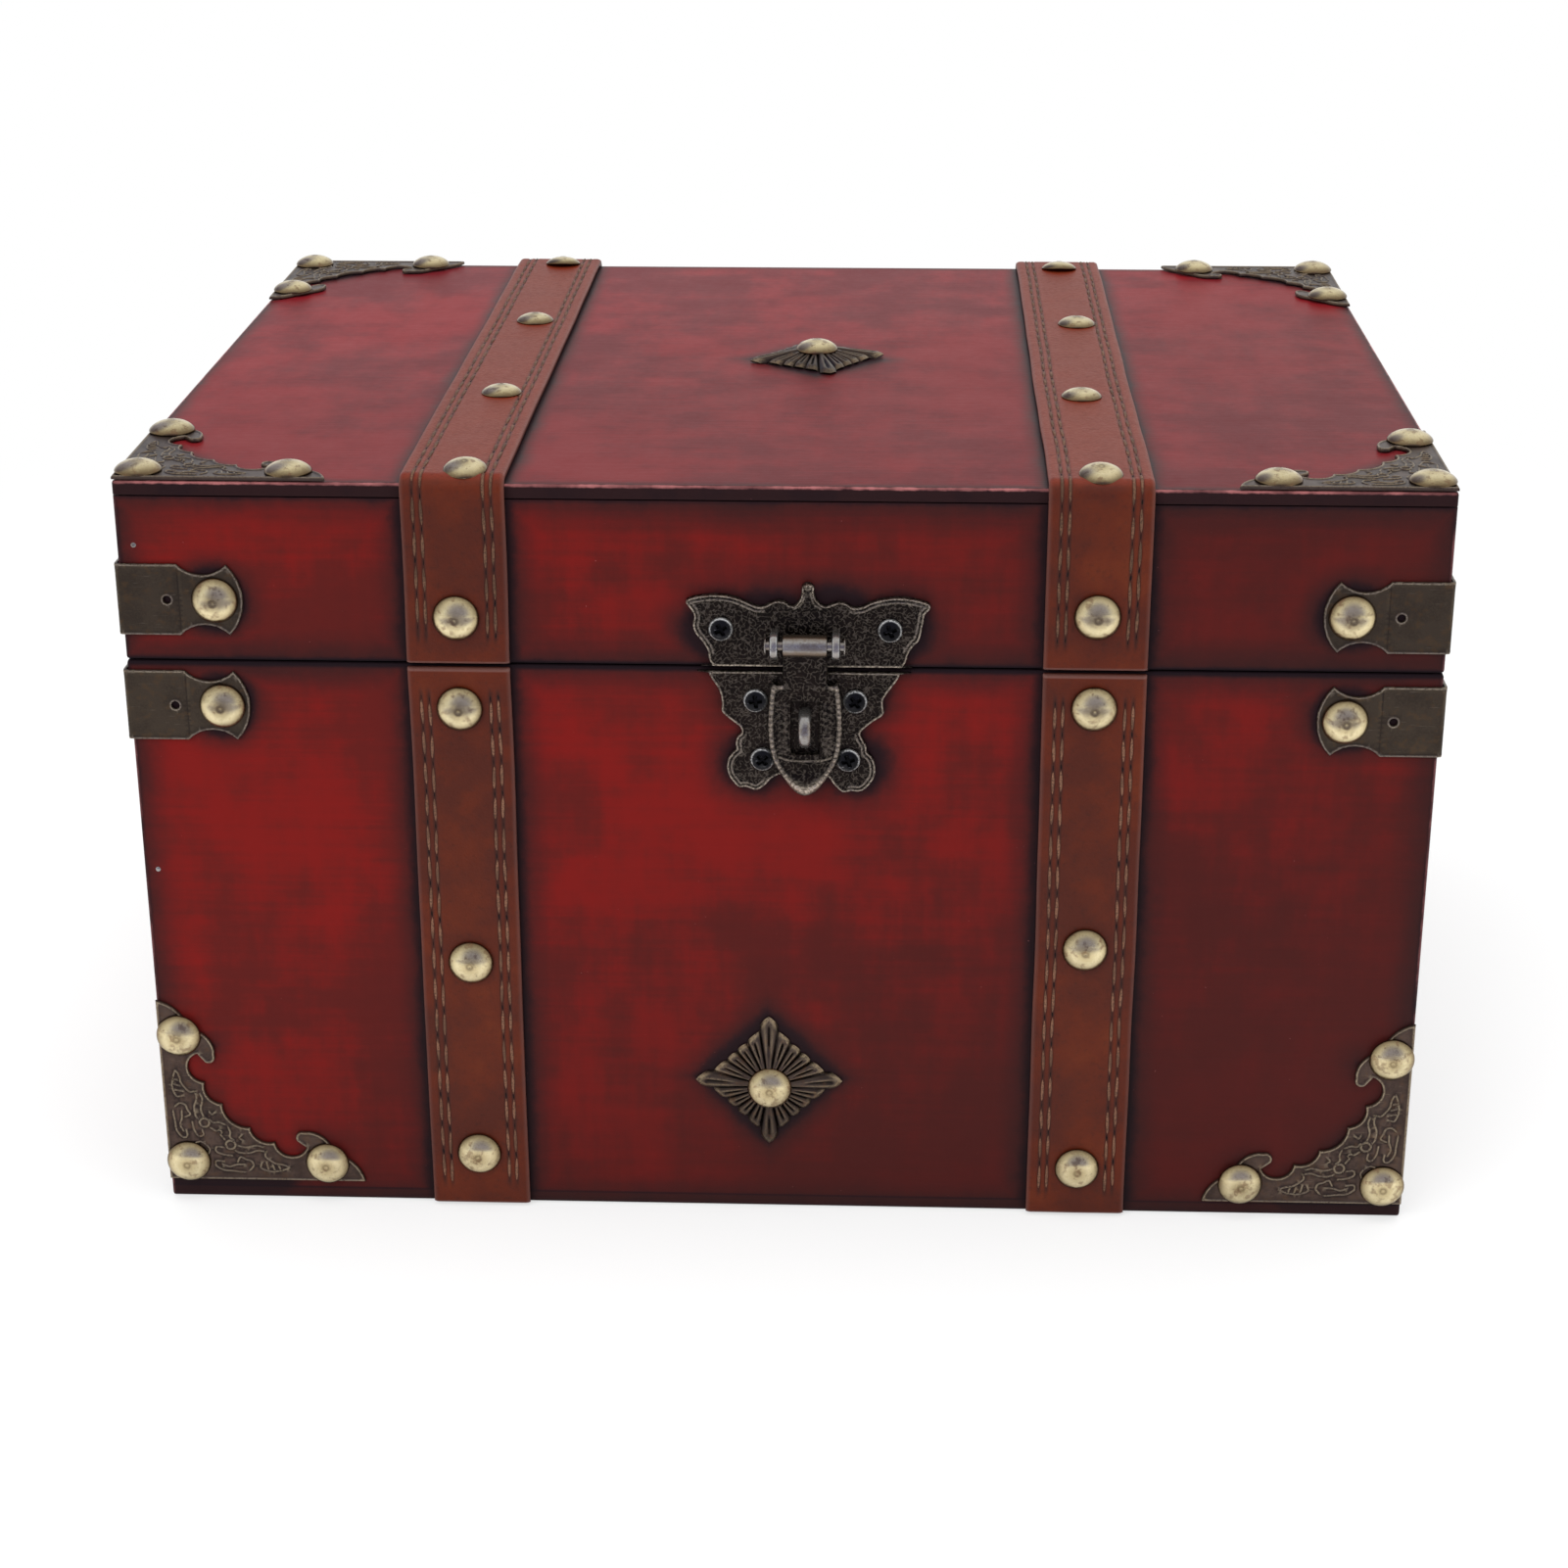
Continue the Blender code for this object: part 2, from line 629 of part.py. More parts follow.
def add_straps():
    """Lay two straps over the lid and down the body and nail them."""
    seat_out = STRAP_NAIL_LENGTH - NAIL_BITE
    half_sunk_out = FIT_GAP + STRAP_THICKNESS / 2
    outline = lid_strap_outline()
    for hand, share in (("left", -LEFT_STRAP_SHARE), ("right", RIGHT_STRAP_SHARE)):
        across = share * CHEST_WIDTH
        lid_strap = "lid_strap_" + hand
        mesh = prism_mesh(lid_strap, outline, STRAP_WIDTH)
        strap = add_part(lid_strap, mesh, cross_section(across, STRAP_WIDTH), LID, "strap_leather")
        round_edges(strap, STRAP_EDGE_ROUND, 1)
        lid_stud_z = LID_BASE + LID_STUD_SHARES[hand] * LID_HEIGHT
        place = on_side("front", across, lid_stud_z, seat_out)
        add_stud("lid_front_stud_" + hand, place, lid_strap, "lid_front_rail", LID)
        depths = TOP_STUD_DEPTH_SHARES[hand]
        drifts = TOP_STUD_DRIFT_SHARES[hand]
        for number, (depth, drift) in enumerate(zip(depths, drifts), start=1):
            x = across + drift * STRAP_WIDTH
            place = on_side("top", x, depth * CHEST_DEPTH, seat_out)
            name = "lid_top_stud_" + hand + "_" + str(number)
            add_stud(name, place, lid_strap, "lid_top_panel", LID)
        front_strap = "body_strap_front_" + hand
        back_strap = "body_strap_back_" + hand
        add_body_strap(front_strap, "front", across)
        back = add_body_strap(back_strap, "back", -across)
        heights = [share * BODY_HEIGHT for share in BODY_STUD_SHARES[hand]]
        for number, z in enumerate(heights, start=1):
            place = on_side("front", across, z, seat_out)
            name = "body_stud_" + hand + "_" + str(number)
            add_stud(name, place, front_strap, "front_panel", CHEST)
        back_places = [on_side("back", -across, z, half_sunk_out) for z in heights]
        fuse_studs(back, back_places, STRAP_THICKNESS, "back_panel")
        lid_place = on_side("back", -across, lid_stud_z, half_sunk_out)
        fuse_studs(strap, [lid_place], STRAP_THICKNESS, "lid_back_rail")


def plate_outline(right, up):
    """Outline of a corner plate whose arms run a given way right and up."""
    arm = scaled(PLATE_SHARES, PLATE_ARM, PLATE_ARM)
    bows_before = [0] + [bow for _, _, bow in arm[:-1]]
    other_arm = [(y, x, bow) for (x, y, _), bow in zip(arm, bows_before)]
    outline = closed_outline([(0, 0, 0)] + arm + other_arm[::-1])
    return [(x * right, y * up) for x, y in outline]


def add_corner_plate(name, side, corner, way, board, body):
    """Add a scalloped plate in a corner of a side, with a stud in it and on each arm."""
    right, up = way
    inset_x = corner[0] + PLATE_EDGE_INSET * right
    inset_y = corner[1] + PLATE_EDGE_INSET * up
    mesh = prism_mesh(name, plate_outline(right, up), PLATE_THICKNESS)
    plate = add_part(name, mesh, on_side(side, inset_x, inset_y), body, "antique_bronze")
    near = PLATE_STUD_INSET
    far = PLATE_STUD_REACH
    out = FIT_GAP + PLATE_THICKNESS / 2
    places = []
    for x, y in ((near, near), (far, near), (near, far)):
        places.append(on_side(side, inset_x + x * right, inset_y + y * up, out))
    fuse_studs(plate, places, PLATE_THICKNESS, board)


def add_corner_plates():
    """Add four plates on the lid's top and two low on the front."""
    half_width = CHEST_WIDTH / 2
    half_depth = CHEST_DEPTH / 2
    for hand, right in (("left", 1), ("right", -1)):
        edge = -right * half_width
        for end, up in (("front", 1), ("back", -1)):
            name = "top_corner_plate_" + end + "_" + hand
            corner = (edge, -up * half_depth)
            add_corner_plate(name, "top", corner, (right, up), "lid_top_panel", LID)
        name = "front_corner_plate_" + hand
        corner = (edge, FRONT_PLATE_HEIGHT[hand])
        add_corner_plate(name, "front", corner, (right, 1), "front_panel", CHEST)


def bracket_outline(inward):
    """Outline of one leg of a bracket, from past the chest's corner to its fish tail."""
    half = BRACKET_HEIGHT / 2
    wrap = FIT_GAP + BRACKET_THICKNESS
    tail = [(x * BRACKET_LENGTH, y * half, bow * half) for x, y, bow in BRACKET_SHARES]
    corners = [(-wrap, -half, 0)] + tail + [(-wrap, half, 0)]
    return [(x * inward, y) for x, y in closed_outline(corners)]


def add_bracket(name, hand, height, boards, body):
    """Add a bracket round a front corner, with a stud and a spare hole on each leg."""
    front_board, side_board = boards
    inward = 1 if hand == "left" else -1
    front_edge = -inward * CHEST_WIDTH / 2
    side_edge = inward * CHEST_DEPTH / 2
    mesh = prism_mesh(name, bracket_outline(inward), BRACKET_THICKNESS)
    corner = on_side("front", front_edge, height)
    bracket = add_part(name, mesh, corner, body, "antique_bronze")
    leg = prism_mesh("side_leg", bracket_outline(-inward), BRACKET_THICKNESS)
    combine(bracket, "UNION", leg, on_side(hand, side_edge, height))
    deep = BRACKET_THICKNESS + 2 * CUT_OVERRUN
    hole = cylinder_mesh("spare_hole", BRACKET_HOLE_RADIUS, deep, HOLE_SIDES)
    out = FIT_GAP + BRACKET_THICKNESS / 2
    legs = (("front", front_edge, inward, front_board), (hand, side_edge, -inward, side_board))
    for side, edge, way, board in legs:
        spare = on_side(side, edge + BRACKET_HOLE_REACH * way, height, out)
        combine(bracket, "DIFFERENCE", hole, spare)
        nailed = on_side(side, edge + BRACKET_STUD_REACH * way, height, out)
        fuse_studs(bracket, [nailed], BRACKET_THICKNESS, board)


def add_brackets():
    """Add the brackets of the lid and of the body."""
    for hand in ("left", "right"):
        lid_boards = ("lid_front_rail", "lid_" + hand + "_rail")
        body_boards = ("front_panel", hand + "_side_panel")
        lid_height = LID_BASE + LID_BRACKET_HEIGHT[hand]
        body_height = BODY_HEIGHT - BODY_BRACKET_DROP[hand]
        add_bracket("lid_bracket_" + hand, hand, lid_height, lid_boards, LID)
        add_bracket("body_bracket_" + hand, hand, body_height, body_boards, CHEST)


def rosette_ring(spread, level, flute):
    """Ring of a rosette: its star outline drawn in to a share, rippled by its flutes."""
    points = []
    for index in range(ROSETTE_POINTS):
        angle = 2 * math.pi * index / ROSETTE_POINTS
        across = abs(math.cos(angle)) + abs(math.sin(angle))
        ripple = (1 - math.cos(ROSETTE_PETALS * angle)) / 2
        tip = max(math.cos(4 * angle), 0) ** ROSETTE_TIP_SHARPNESS
        star = ROSETTE_SIDE / across + (ROSETTE_TIP - ROSETTE_SIDE) * tip - ROSETTE_NOTCH * ripple
        height = level - flute * ripple
        points.append((spread * star * math.cos(angle), spread * star * math.sin(angle), height))
    return points


def rosette_mesh():
    """Star of radial petals, domed to its middle, as a loft through rings."""
    shoulder = ROSETTE_EDGE + ROSETTE_RISE / 2
    rings = (
        rosette_ring(ROSETTE_SHOULDER_SHARE, shoulder, ROSETTE_FLUTE),
        rosette_ring(1, ROSETTE_EDGE, 0),
        rosette_ring(1, 0, 0),
    )
    shape = bmesh.new()
    loops = [[shape.verts.new(point) for point in ring] for ring in rings]
    peak = shape.verts.new((0, 0, ROSETTE_EDGE + ROSETTE_RISE))
    for index in range(ROSETTE_POINTS):
        shape.faces.new((peak, loops[0][index], loops[0][(index + 1) % ROSETTE_POINTS]))
    shape.faces.new(reversed(loops[-1]))
    for upper, lower in zip(loops, loops[1:]):
        for index in range(ROSETTE_POINTS):
            after = (index + 1) % ROSETTE_POINTS
            shape.faces.new((upper[index], lower[index], lower[after], upper[after]))
    bmesh.ops.recalc_face_normals(shape, faces=shape.faces)
    mesh = bpy.data.meshes.new("rosette")
    shape.to_mesh(mesh)
    shape.free()
    return shade(mesh)


def add_rosette(name, side, right, up, turn, board, body):
    """Add a rosette with a stud through its middle."""
    place = on_side(side, right, up) @ Matrix.Rotation(turn, 4, "Z")
    rosette = add_part(name, rosette_mesh(), place, body, "antique_bronze")
    seat = on_side(side, right, up, FIT_GAP + ROSETTE_STUD_SEAT)
    length = ROSETTE_STUD_SEAT + FIT_GAP + NAIL_BITE
    combine(rosette, "UNION", stud_mesh("middle_stud", length), seat)
    drill((board,), seat, NAIL_RADIUS, length + FIT_GAP)


def add_rosettes():
    """Add the rosettes on the front and on the lid's top."""
    add_rosette(
        "front_rosette", "front", FRONT_ROSETTE_OFFSET, FRONT_ROSETTE_HEIGHT, 0,
        "front_panel", CHEST)
    add_rosette(
        "lid_rosette", "top", LID_ROSETTE_OFFSET, LID_ROSETTE_DEPTH, LID_ROSETTE_TURN,
        "lid_top_panel", LID)


def wings_mesh(name, shares, width, height):
    """Flat plate whose outline is mirrored from the shares of its right half."""
    corners = mirrored(scaled(shares, width / 2, height))
    return prism_mesh(name, closed_outline(corners), HASP_PLATE_THICKNESS)


def add_hasp_screw(name, place, plate, board, body):
    """Add a round-head screw through a plate of the hasp."""
    add_part(name, HASP_SCREW_SHAPE, place, body, "screw_black")
    drill((plate, board), place, HASP_SCREW_CORE, HASP_SCREW_LENGTH + FIT_GAP)


def add_lid_wings():
    """Add the upper wings, which carry the pin between two ears."""
    name = "hasp_lid_plate"
    mesh = wings_mesh(name, LID_WINGS_SHARES, LID_WINGS_WIDTH, LID_WINGS_HEIGHT)
    plate = add_part(name, mesh, on_side("front", HASP_OFFSET, LID_WINGS_BASE), LID, "hasp_bronze")
    root = -CHEST_DEPTH / 2 - FIT_GAP - HASP_PLATE_THICKNESS / 2
    ear_corners = [
        (HASP_AXIS_Y, HASP_AXIS_Z - EAR_RADIUS, 0),
        (root, HASP_AXIS_Z - EAR_RADIUS, 0),
        (root, HASP_AXIS_Z + EAR_RADIUS, 0),
        (HASP_AXIS_Y, HASP_AXIS_Z + EAR_RADIUS, EAR_RADIUS),
    ]
    ear = prism_mesh("ear", closed_outline(ear_corners), EAR_THICKNESS)
    from_middle = BARREL_LENGTH / 2 + HASP_CLEARANCE + EAR_THICKNESS / 2
    for way in (-1, 1):
        combine(plate, "UNION", ear, cross_section(HASP_OFFSET + from_middle * way, EAR_THICKNESS))
    bore = bore_mesh(HASP_PIN_RADIUS, LID_WINGS_WIDTH / 2)
    combine(plate, "DIFFERENCE", bore, lengthwise((HASP_OFFSET, HASP_AXIS_Y, HASP_AXIS_Z)))


def add_hasp_pin():
    """Add the riveted pin through the ears and the tongue's barrel."""
    half = BARREL_LENGTH / 2 + HASP_CLEARANCE + EAR_THICKNESS + FIT_GAP
    end = half + PIN_HEAD_LENGTH
    soft = PIN_HEAD_LENGTH / 2
    upper = [
        (0, end),
        (PIN_HEAD_RADIUS - soft, end),
        (PIN_HEAD_RADIUS, end - soft),
        (PIN_HEAD_RADIUS, half),
        (HASP_PIN_RADIUS, half),
    ]
    profile = upper + [(radius, -height) for radius, height in reversed(upper)]
    place = lengthwise((HASP_OFFSET, HASP_AXIS_Y, HASP_AXIS_Z))
    add_part("hasp_pin", turned_mesh("hasp_pin", profile), place, LID, "pin_steel")


def tongue_section():
    """Outline, in Y and Z, of the tongue's plate: straight down, then curled outwards."""
    back = HASP_AXIS_Y + BARREL_RADIUS
    front = back - TONGUE_THICKNESS
    bend_y = back - TONGUE_THICKNESS / 2 - CURL_RADIUS
    bend_z = HASP_AXIS_Z - CURL_DROP
    outer = CURL_RADIUS + TONGUE_THICKNESS / 2
    inner = CURL_RADIUS - TONGUE_THICKNESS / 2
    steps = math.ceil(CURL_ANGLE / ARC_TURN) * 2
    angles = [CURL_ANGLE * step / steps for step in range(steps + 1)]
    under = [(bend_y + outer * math.cos(turn), bend_z - outer * math.sin(turn)) for turn in angles]
    over = [(bend_y + inner * math.cos(turn), bend_z - inner * math.sin(turn)) for turn in angles]
    return [(front, HASP_AXIS_Z)] + over + list(reversed(under)) + [(back, HASP_AXIS_Z)]


def add_tongue():
    """Add the tongue, which swings on the pin and drops over the staple."""
    name = "hasp_tongue"
    mesh = prism_mesh(name, tongue_section(), TONGUE_WIDTH + 2 * CUT_OVERRUN)
    place = cross_section(HASP_OFFSET, TONGUE_WIDTH + 2 * CUT_OVERRUN)
    tongue = add_part(name, mesh, place, HASP, "hasp_bronze")
    shield = scaled(TONGUE_SHARES, TONGUE_WIDTH / 2, TONGUE_LENGTH)
    neck = [(BARREL_LENGTH / 2, -TONGUE_SHOULDER_DROP, 0), (BARREL_LENGTH / 2, 0, 0)]
    deep = 2 * (HASP_AXIS_OUT + CURL_RADIUS)
    shape = prism_mesh("shield", closed_outline(mirrored(shield + neck)), deep)
    combine(tongue, "INTERSECT", shape, on_side("front", HASP_OFFSET, HASP_AXIS_Z, -deep / 4))
    slot_low = (-SLOT_WIDTH / 2, -SLOT_BOTTOM_DROP, 0)
    slot_high = (SLOT_WIDTH / 2, -SLOT_TOP_DROP, HASP_AXIS_OUT)
    slot = box_mesh("slot", slot_low, slot_high)
    combine(tongue, "DIFFERENCE", slot, on_side("front", HASP_OFFSET, HASP_AXIS_Z))
    axis = lengthwise((HASP_OFFSET, HASP_AXIS_Y, HASP_AXIS_Z))
    combine(tongue, "UNION", cylinder_mesh("barrel", BARREL_RADIUS, BARREL_LENGTH), axis)
    bore = bore_mesh(HASP_PIN_RADIUS, BARREL_LENGTH + 2 * CUT_OVERRUN)
    combine(tongue, "DIFFERENCE", bore, axis)


def add_body_wings():
    """Add the lower wings with the staple that takes a padlock."""
    name = "hasp_catch_plate"
    mesh = wings_mesh(name, BODY_WINGS_SHARES, BODY_WINGS_WIDTH, BODY_WINGS_HEIGHT)
    plate = add_part(name, mesh, on_side("front", HASP_OFFSET, BODY_WINGS_TOP), CHEST, "hasp_bronze")
    root = -CHEST_DEPTH / 2 - FIT_GAP - HASP_PLATE_THICKNESS / 2
    outer = STAPLE_HEIGHT / 2
    inner = outer - STAPLE_BAR
    bend = -CHEST_DEPTH / 2 - FIT_GAP - HASP_PLATE_THICKNESS - STAPLE_REACH + outer
    corners = [
        (root, STAPLE_CENTRE_Z + outer, 0),
        (bend, STAPLE_CENTRE_Z + outer, outer),
        (bend, STAPLE_CENTRE_Z - outer, 0),
        (root, STAPLE_CENTRE_Z - outer, 0),
        (root, STAPLE_CENTRE_Z - inner, 0),
        (bend, STAPLE_CENTRE_Z - inner, -inner),
        (bend, STAPLE_CENTRE_Z + inner, 0),
        (root, STAPLE_CENTRE_Z + inner, 0),
    ]
    loop = prism_mesh("staple", closed_outline(corners), STAPLE_WIDTH)
    combine(plate, "UNION", loop, cross_section(HASP_OFFSET, STAPLE_WIDTH))


def add_hasp_screws():
    """Screw both plates of the hasp down."""
    out = HASP_SCREW_LENGTH - SCREW_BITE
    lid_size = (LID_WINGS_WIDTH / 2, LID_WINGS_HEIGHT, LID_WINGS_BASE)
    body_size = (BODY_WINGS_WIDTH / 2, BODY_WINGS_HEIGHT, BODY_WINGS_TOP)
    lid_owner = ("hasp_lid_plate", "lid_front_rail", LID)
    body_owner = ("hasp_catch_plate", "front_panel", CHEST)
    rows = (
        ("hasp_screw_lid_", LID_SCREW_SHARES, lid_size, lid_owner),
        ("hasp_screw_upper_", UPPER_SCREW_SHARES, body_size, body_owner),
        ("hasp_screw_lower_", LOWER_SCREW_SHARES, body_size, body_owner),
    )
    for prefix, (aside, above), (half, height, base), owner in rows:
        for hand, way in (("left", -1), ("right", 1)):
            x = HASP_OFFSET + aside * half * way
            add_hasp_screw(prefix + hand, on_side("front", x, base + above * height, out), *owner)


def leaf_outline(parity):
    """Outline of a hinge leaf above its axis, with tabs for its own knuckles."""
    cell = HINGE_WIDTH / HINGE_KNUCKLES
    half = HINGE_WIDTH / 2
    clear = KNUCKLE_RADIUS + FIT_GAP
    points = []
    for index in range(HINGE_KNUCKLES):
        own = index % 2 == parity
        grow = -FIT_GAP if own else FIT_GAP
        left = max(index * cell - half - grow, -half)
        right = min((index + 1) * cell - half + grow, half)
        level = 0 if own else clear
        points += [(left, level), (right, level)]
    return points + [(half, HINGE_LEAF_HEIGHT), (-half, HINGE_LEAF_HEIGHT)]


def add_leaf(name, centre_x, parity, turn, board, body):
    """Add a hinge leaf with its rolled knuckles and its two screws."""
    seat = on_side("back", -centre_x, HINGE_AXIS_Z) @ Matrix.Rotation(turn, 4, "Z")
    mesh = prism_mesh(name, leaf_outline(parity), HINGE_LEAF_THICKNESS)
    leaf = add_part(name, mesh, seat, body, "antique_bronze")
    cell = HINGE_WIDTH / HINGE_KNUCKLES
    for index in range(parity, HINGE_KNUCKLES, 2):
        trim_left = FIT_GAP / 2 if index > 0 else 0
        trim_right = FIT_GAP / 2 if index < HINGE_KNUCKLES - 1 else 0
        length = cell - trim_left - trim_right
        middle = (index + 1 / 2) * cell - HINGE_WIDTH / 2 + (trim_left - trim_right) / 2
        knuckle = cylinder_mesh("knuckle", KNUCKLE_RADIUS, length)
        place = lengthwise((centre_x + middle, HINGE_AXIS_Y, HINGE_AXIS_Z))
        combine(leaf, "UNION", knuckle, place, "MANIFOLD")
    bore = bore_mesh(HINGE_PIN_RADIUS, HINGE_WIDTH + 2 * CUT_OVERRUN)
    combine(leaf, "DIFFERENCE", bore, lengthwise((centre_x, HINGE_AXIS_Y, HINGE_AXIS_Z)))
    sunk = HINGE_LEAF_THICKNESS / 2
    length = sunk + FIT_GAP + SCREW_BITE
    rise = HINGE_SCREW_RISE + sunk
    profile = headed_profile(HINGE_SCREW_RADIUS, rise, HINGE_SCREW_CORE, length, 2)
    screw = turned_mesh("leaf_screw", profile, STUD_SIDES)
    places = []
    for way in (-1, 1):
        x = HINGE_SCREW_SPREAD / 2 * way
        places.append(seat @ Matrix.Translation((x, HINGE_SCREW_HEIGHT, sunk)))
    combine(leaf, "UNION", joined_mesh("screws", [(screw, place) for place in places]), Matrix())
    for place in places:
        drill((board,), place, HINGE_SCREW_CORE, length + FIT_GAP)


def add_hinges():
    """Add two butt hinges on the back, each of two leaves and a pin."""
    half = HINGE_WIDTH / 2 + FIT_GAP
    knob = KNUCKLE_RADIUS - FIT_GAP
    bend = knob / 2
    upper = [
        (0, half + knob),
        (bend, half + knob - bend / 2),
        (knob, half + bend),
        (bend + bend / 2, half),
        (HINGE_PIN_RADIUS, half),
    ]
    profile = upper + [(radius, -height) for radius, height in reversed(upper)]
    pin = turned_mesh("hinge_pin", profile, STUD_SIDES)
    for hand, way in (("left", -1), ("right", 1)):
        x = HINGE_WIDTH_SHARE * CHEST_WIDTH * way
        add_leaf("hinge_lid_leaf_" + hand, x, 1, 0, "lid_back_rail", LID)
        add_leaf("hinge_body_leaf_" + hand, x, 0, HALF_TURN, "back_panel", CHEST)
        place = lengthwise((x, HINGE_AXIS_Y, HINGE_AXIS_Z))
        add_part("hinge_pin_" + hand, pin, place, CHEST, "antique_bronze")


clear_scene()
PARTS = make_collection("treasure_chest")
CUTTERS = make_collection("cutters")
MATERIALS = {name: make_finish(name) for name in FINISHES}
HOLES = {}
CHEST = make_axis("chest_body", Matrix(), None)
LID = make_axis("lid_hinge_axis", Matrix.Translation((0, HINGE_AXIS_Y, HINGE_AXIS_Z)), CHEST)
HASP = make_axis("hasp_pin_axis", Matrix.Translation((HASP_OFFSET, HASP_AXIS_Y, HASP_AXIS_Z)), LID)
STUD_SHAPE = stud_mesh("strap_stud", STRAP_NAIL_LENGTH)
HASP_SCREW_SHAPE = turned_mesh("hasp_screw", headed_profile(
    HASP_SCREW_RADIUS, HASP_SCREW_RISE, HASP_SCREW_CORE, HASP_SCREW_LENGTH, 2), STUD_SIDES)

add_boards()
add_straps()
add_corner_plates()
add_brackets()
add_rosettes()
add_lid_wings()
add_hasp_pin()
add_tongue()
add_body_wings()
add_hasp_screws()
add_hinges()
cut_holes()
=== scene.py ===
"""Looks of a red wooden treasure chest with leather straps and antique fittings.

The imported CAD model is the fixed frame. Its boards stay and are stained here; the
straps and metal fittings are replaced by fuller shapes that sit where the solids do.
Lengths are in millimetres until a mesh is made.
"""

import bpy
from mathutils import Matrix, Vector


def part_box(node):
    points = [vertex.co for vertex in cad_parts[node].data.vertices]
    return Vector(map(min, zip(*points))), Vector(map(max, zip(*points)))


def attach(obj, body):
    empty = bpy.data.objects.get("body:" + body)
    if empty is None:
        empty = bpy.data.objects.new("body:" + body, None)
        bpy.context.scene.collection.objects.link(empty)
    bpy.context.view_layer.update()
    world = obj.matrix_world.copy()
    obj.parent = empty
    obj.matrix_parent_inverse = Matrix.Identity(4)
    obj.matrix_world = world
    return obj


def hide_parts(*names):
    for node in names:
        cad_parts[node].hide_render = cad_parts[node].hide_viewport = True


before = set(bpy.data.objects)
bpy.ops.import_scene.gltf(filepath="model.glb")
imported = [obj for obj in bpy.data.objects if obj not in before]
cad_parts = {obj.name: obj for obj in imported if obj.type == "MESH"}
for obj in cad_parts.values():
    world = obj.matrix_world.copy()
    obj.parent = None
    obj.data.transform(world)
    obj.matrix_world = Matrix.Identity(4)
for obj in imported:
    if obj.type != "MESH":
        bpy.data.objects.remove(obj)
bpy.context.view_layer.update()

import logging
import math
import random
from dataclasses import dataclass, replace
from enum import Enum
from functools import cache, reduce
from typing import Any, Callable, Iterable, Sequence, Union

import bmesh
import bpy
import numpy as np
from mathutils import Matrix, Vector, noise
from mathutils.geometry import delaunay_2d_cdt

MM = 0.001
LOG = logging.getLogger("treasure_chest")
Point = tuple[float, float]
Triple = tuple[float, float, float]
Tint = tuple[float, float, float]
Shape = tuple[np.ndarray, list[tuple[int, ...]]]
Paint = dict[str, np.ndarray]


class Body(Enum):
    """The parts of the chest that move on their own."""

    CHEST = "chest"
    LID = "lid"
    HASP = "hasp"


class Slot(Enum):
    """The record's material slots."""

    WOOD = "red_wood"
    LEATHER = "strap_leather"
    BRONZE = "antique_bronze"
    BRASS = "stud_brass"
    HASP = "hasp_bronze"
    SCREW = "screw_black"
    STEEL = "pin_steel"


class Side(Enum):
    """The outer sides of the chest, as the nodes are named."""

    FRONT = "front"
    RIGHT = "right"
    BACK = "back"
    LEFT = "left"
    TOP = "top"


class Hand(Enum):
    """The left or right half of the chest, with the way in from its edge."""

    LEFT = 1
    RIGHT = -1

    @property
    def word(self) -> str:
        """The word that node names use."""
        return self.name.lower()


# Places on the chest


def box_mm(node: str) -> tuple[np.ndarray, np.ndarray]:
    """Lowest and highest corners of a CAD node's box, in millimetres."""
    return tuple(np.array(corner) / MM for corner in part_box(node))


def middle_of(node: str) -> np.ndarray:
    """Middle of a CAD node's box, in millimetres."""
    low, high = box_mm(node)
    return (low + high) / 2


@dataclass(frozen=True)
class Carcass:
    """The outer sizes of the wooden box and lid, read from the boards."""

    half_width: float
    half_depth: float
    body_height: float
    lid_base: float
    height: float

    @classmethod
    def from_frame(cls) -> "Carcass":
        """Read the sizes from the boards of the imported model.

        Returns:
            The sizes.
        """
        low, high = box_mm("front_panel")
        top = box_mm("lid_top_panel")[1]
        rail = box_mm("lid_front_rail")[0]
        return cls(high[0], -low[1], high[2], rail[2], top[2])

    def place(self, side: Side, right: float, up: float, out: float = 0.0) -> Matrix:
        """Frame of a place on a side: x runs right, y up and z out of the wood.

        Args:
            side: the side of the chest.
            right: distance right of the side's middle, seen from outside.
            up: height on an upright side, or depth on the top.
            out: distance out from the wood.

        Returns:
            The frame, in millimetres.
        """
        offset = Matrix.Translation((right, up, out))
        if side is Side.TOP:
            return Matrix.Translation((0, 0, self.height)) @ offset
        turns = (Side.FRONT, Side.RIGHT, Side.BACK, Side.LEFT).index(side)
        reach = self.half_width if side in (Side.LEFT, Side.RIGHT) else self.half_depth
        facing = Matrix.Rotation(math.pi / 2 * turns, 4, "Z")
        upright = Matrix.Rotation(math.pi / 2, 4, "X")
        return facing @ Matrix.Translation((0, -reach, 0)) @ upright @ offset

    def seat(self, node: str, side: Side, out: float) -> Matrix:
        """Frame at the middle of a CAD node on the front or top, a distance out from the wood."""
        x, y, z = middle_of(node)
        return self.place(side, x, y if side is Side.TOP else z, out)


CHEST = Carcass.from_frame()
FIT_GAP = 0.3


# Shader maths


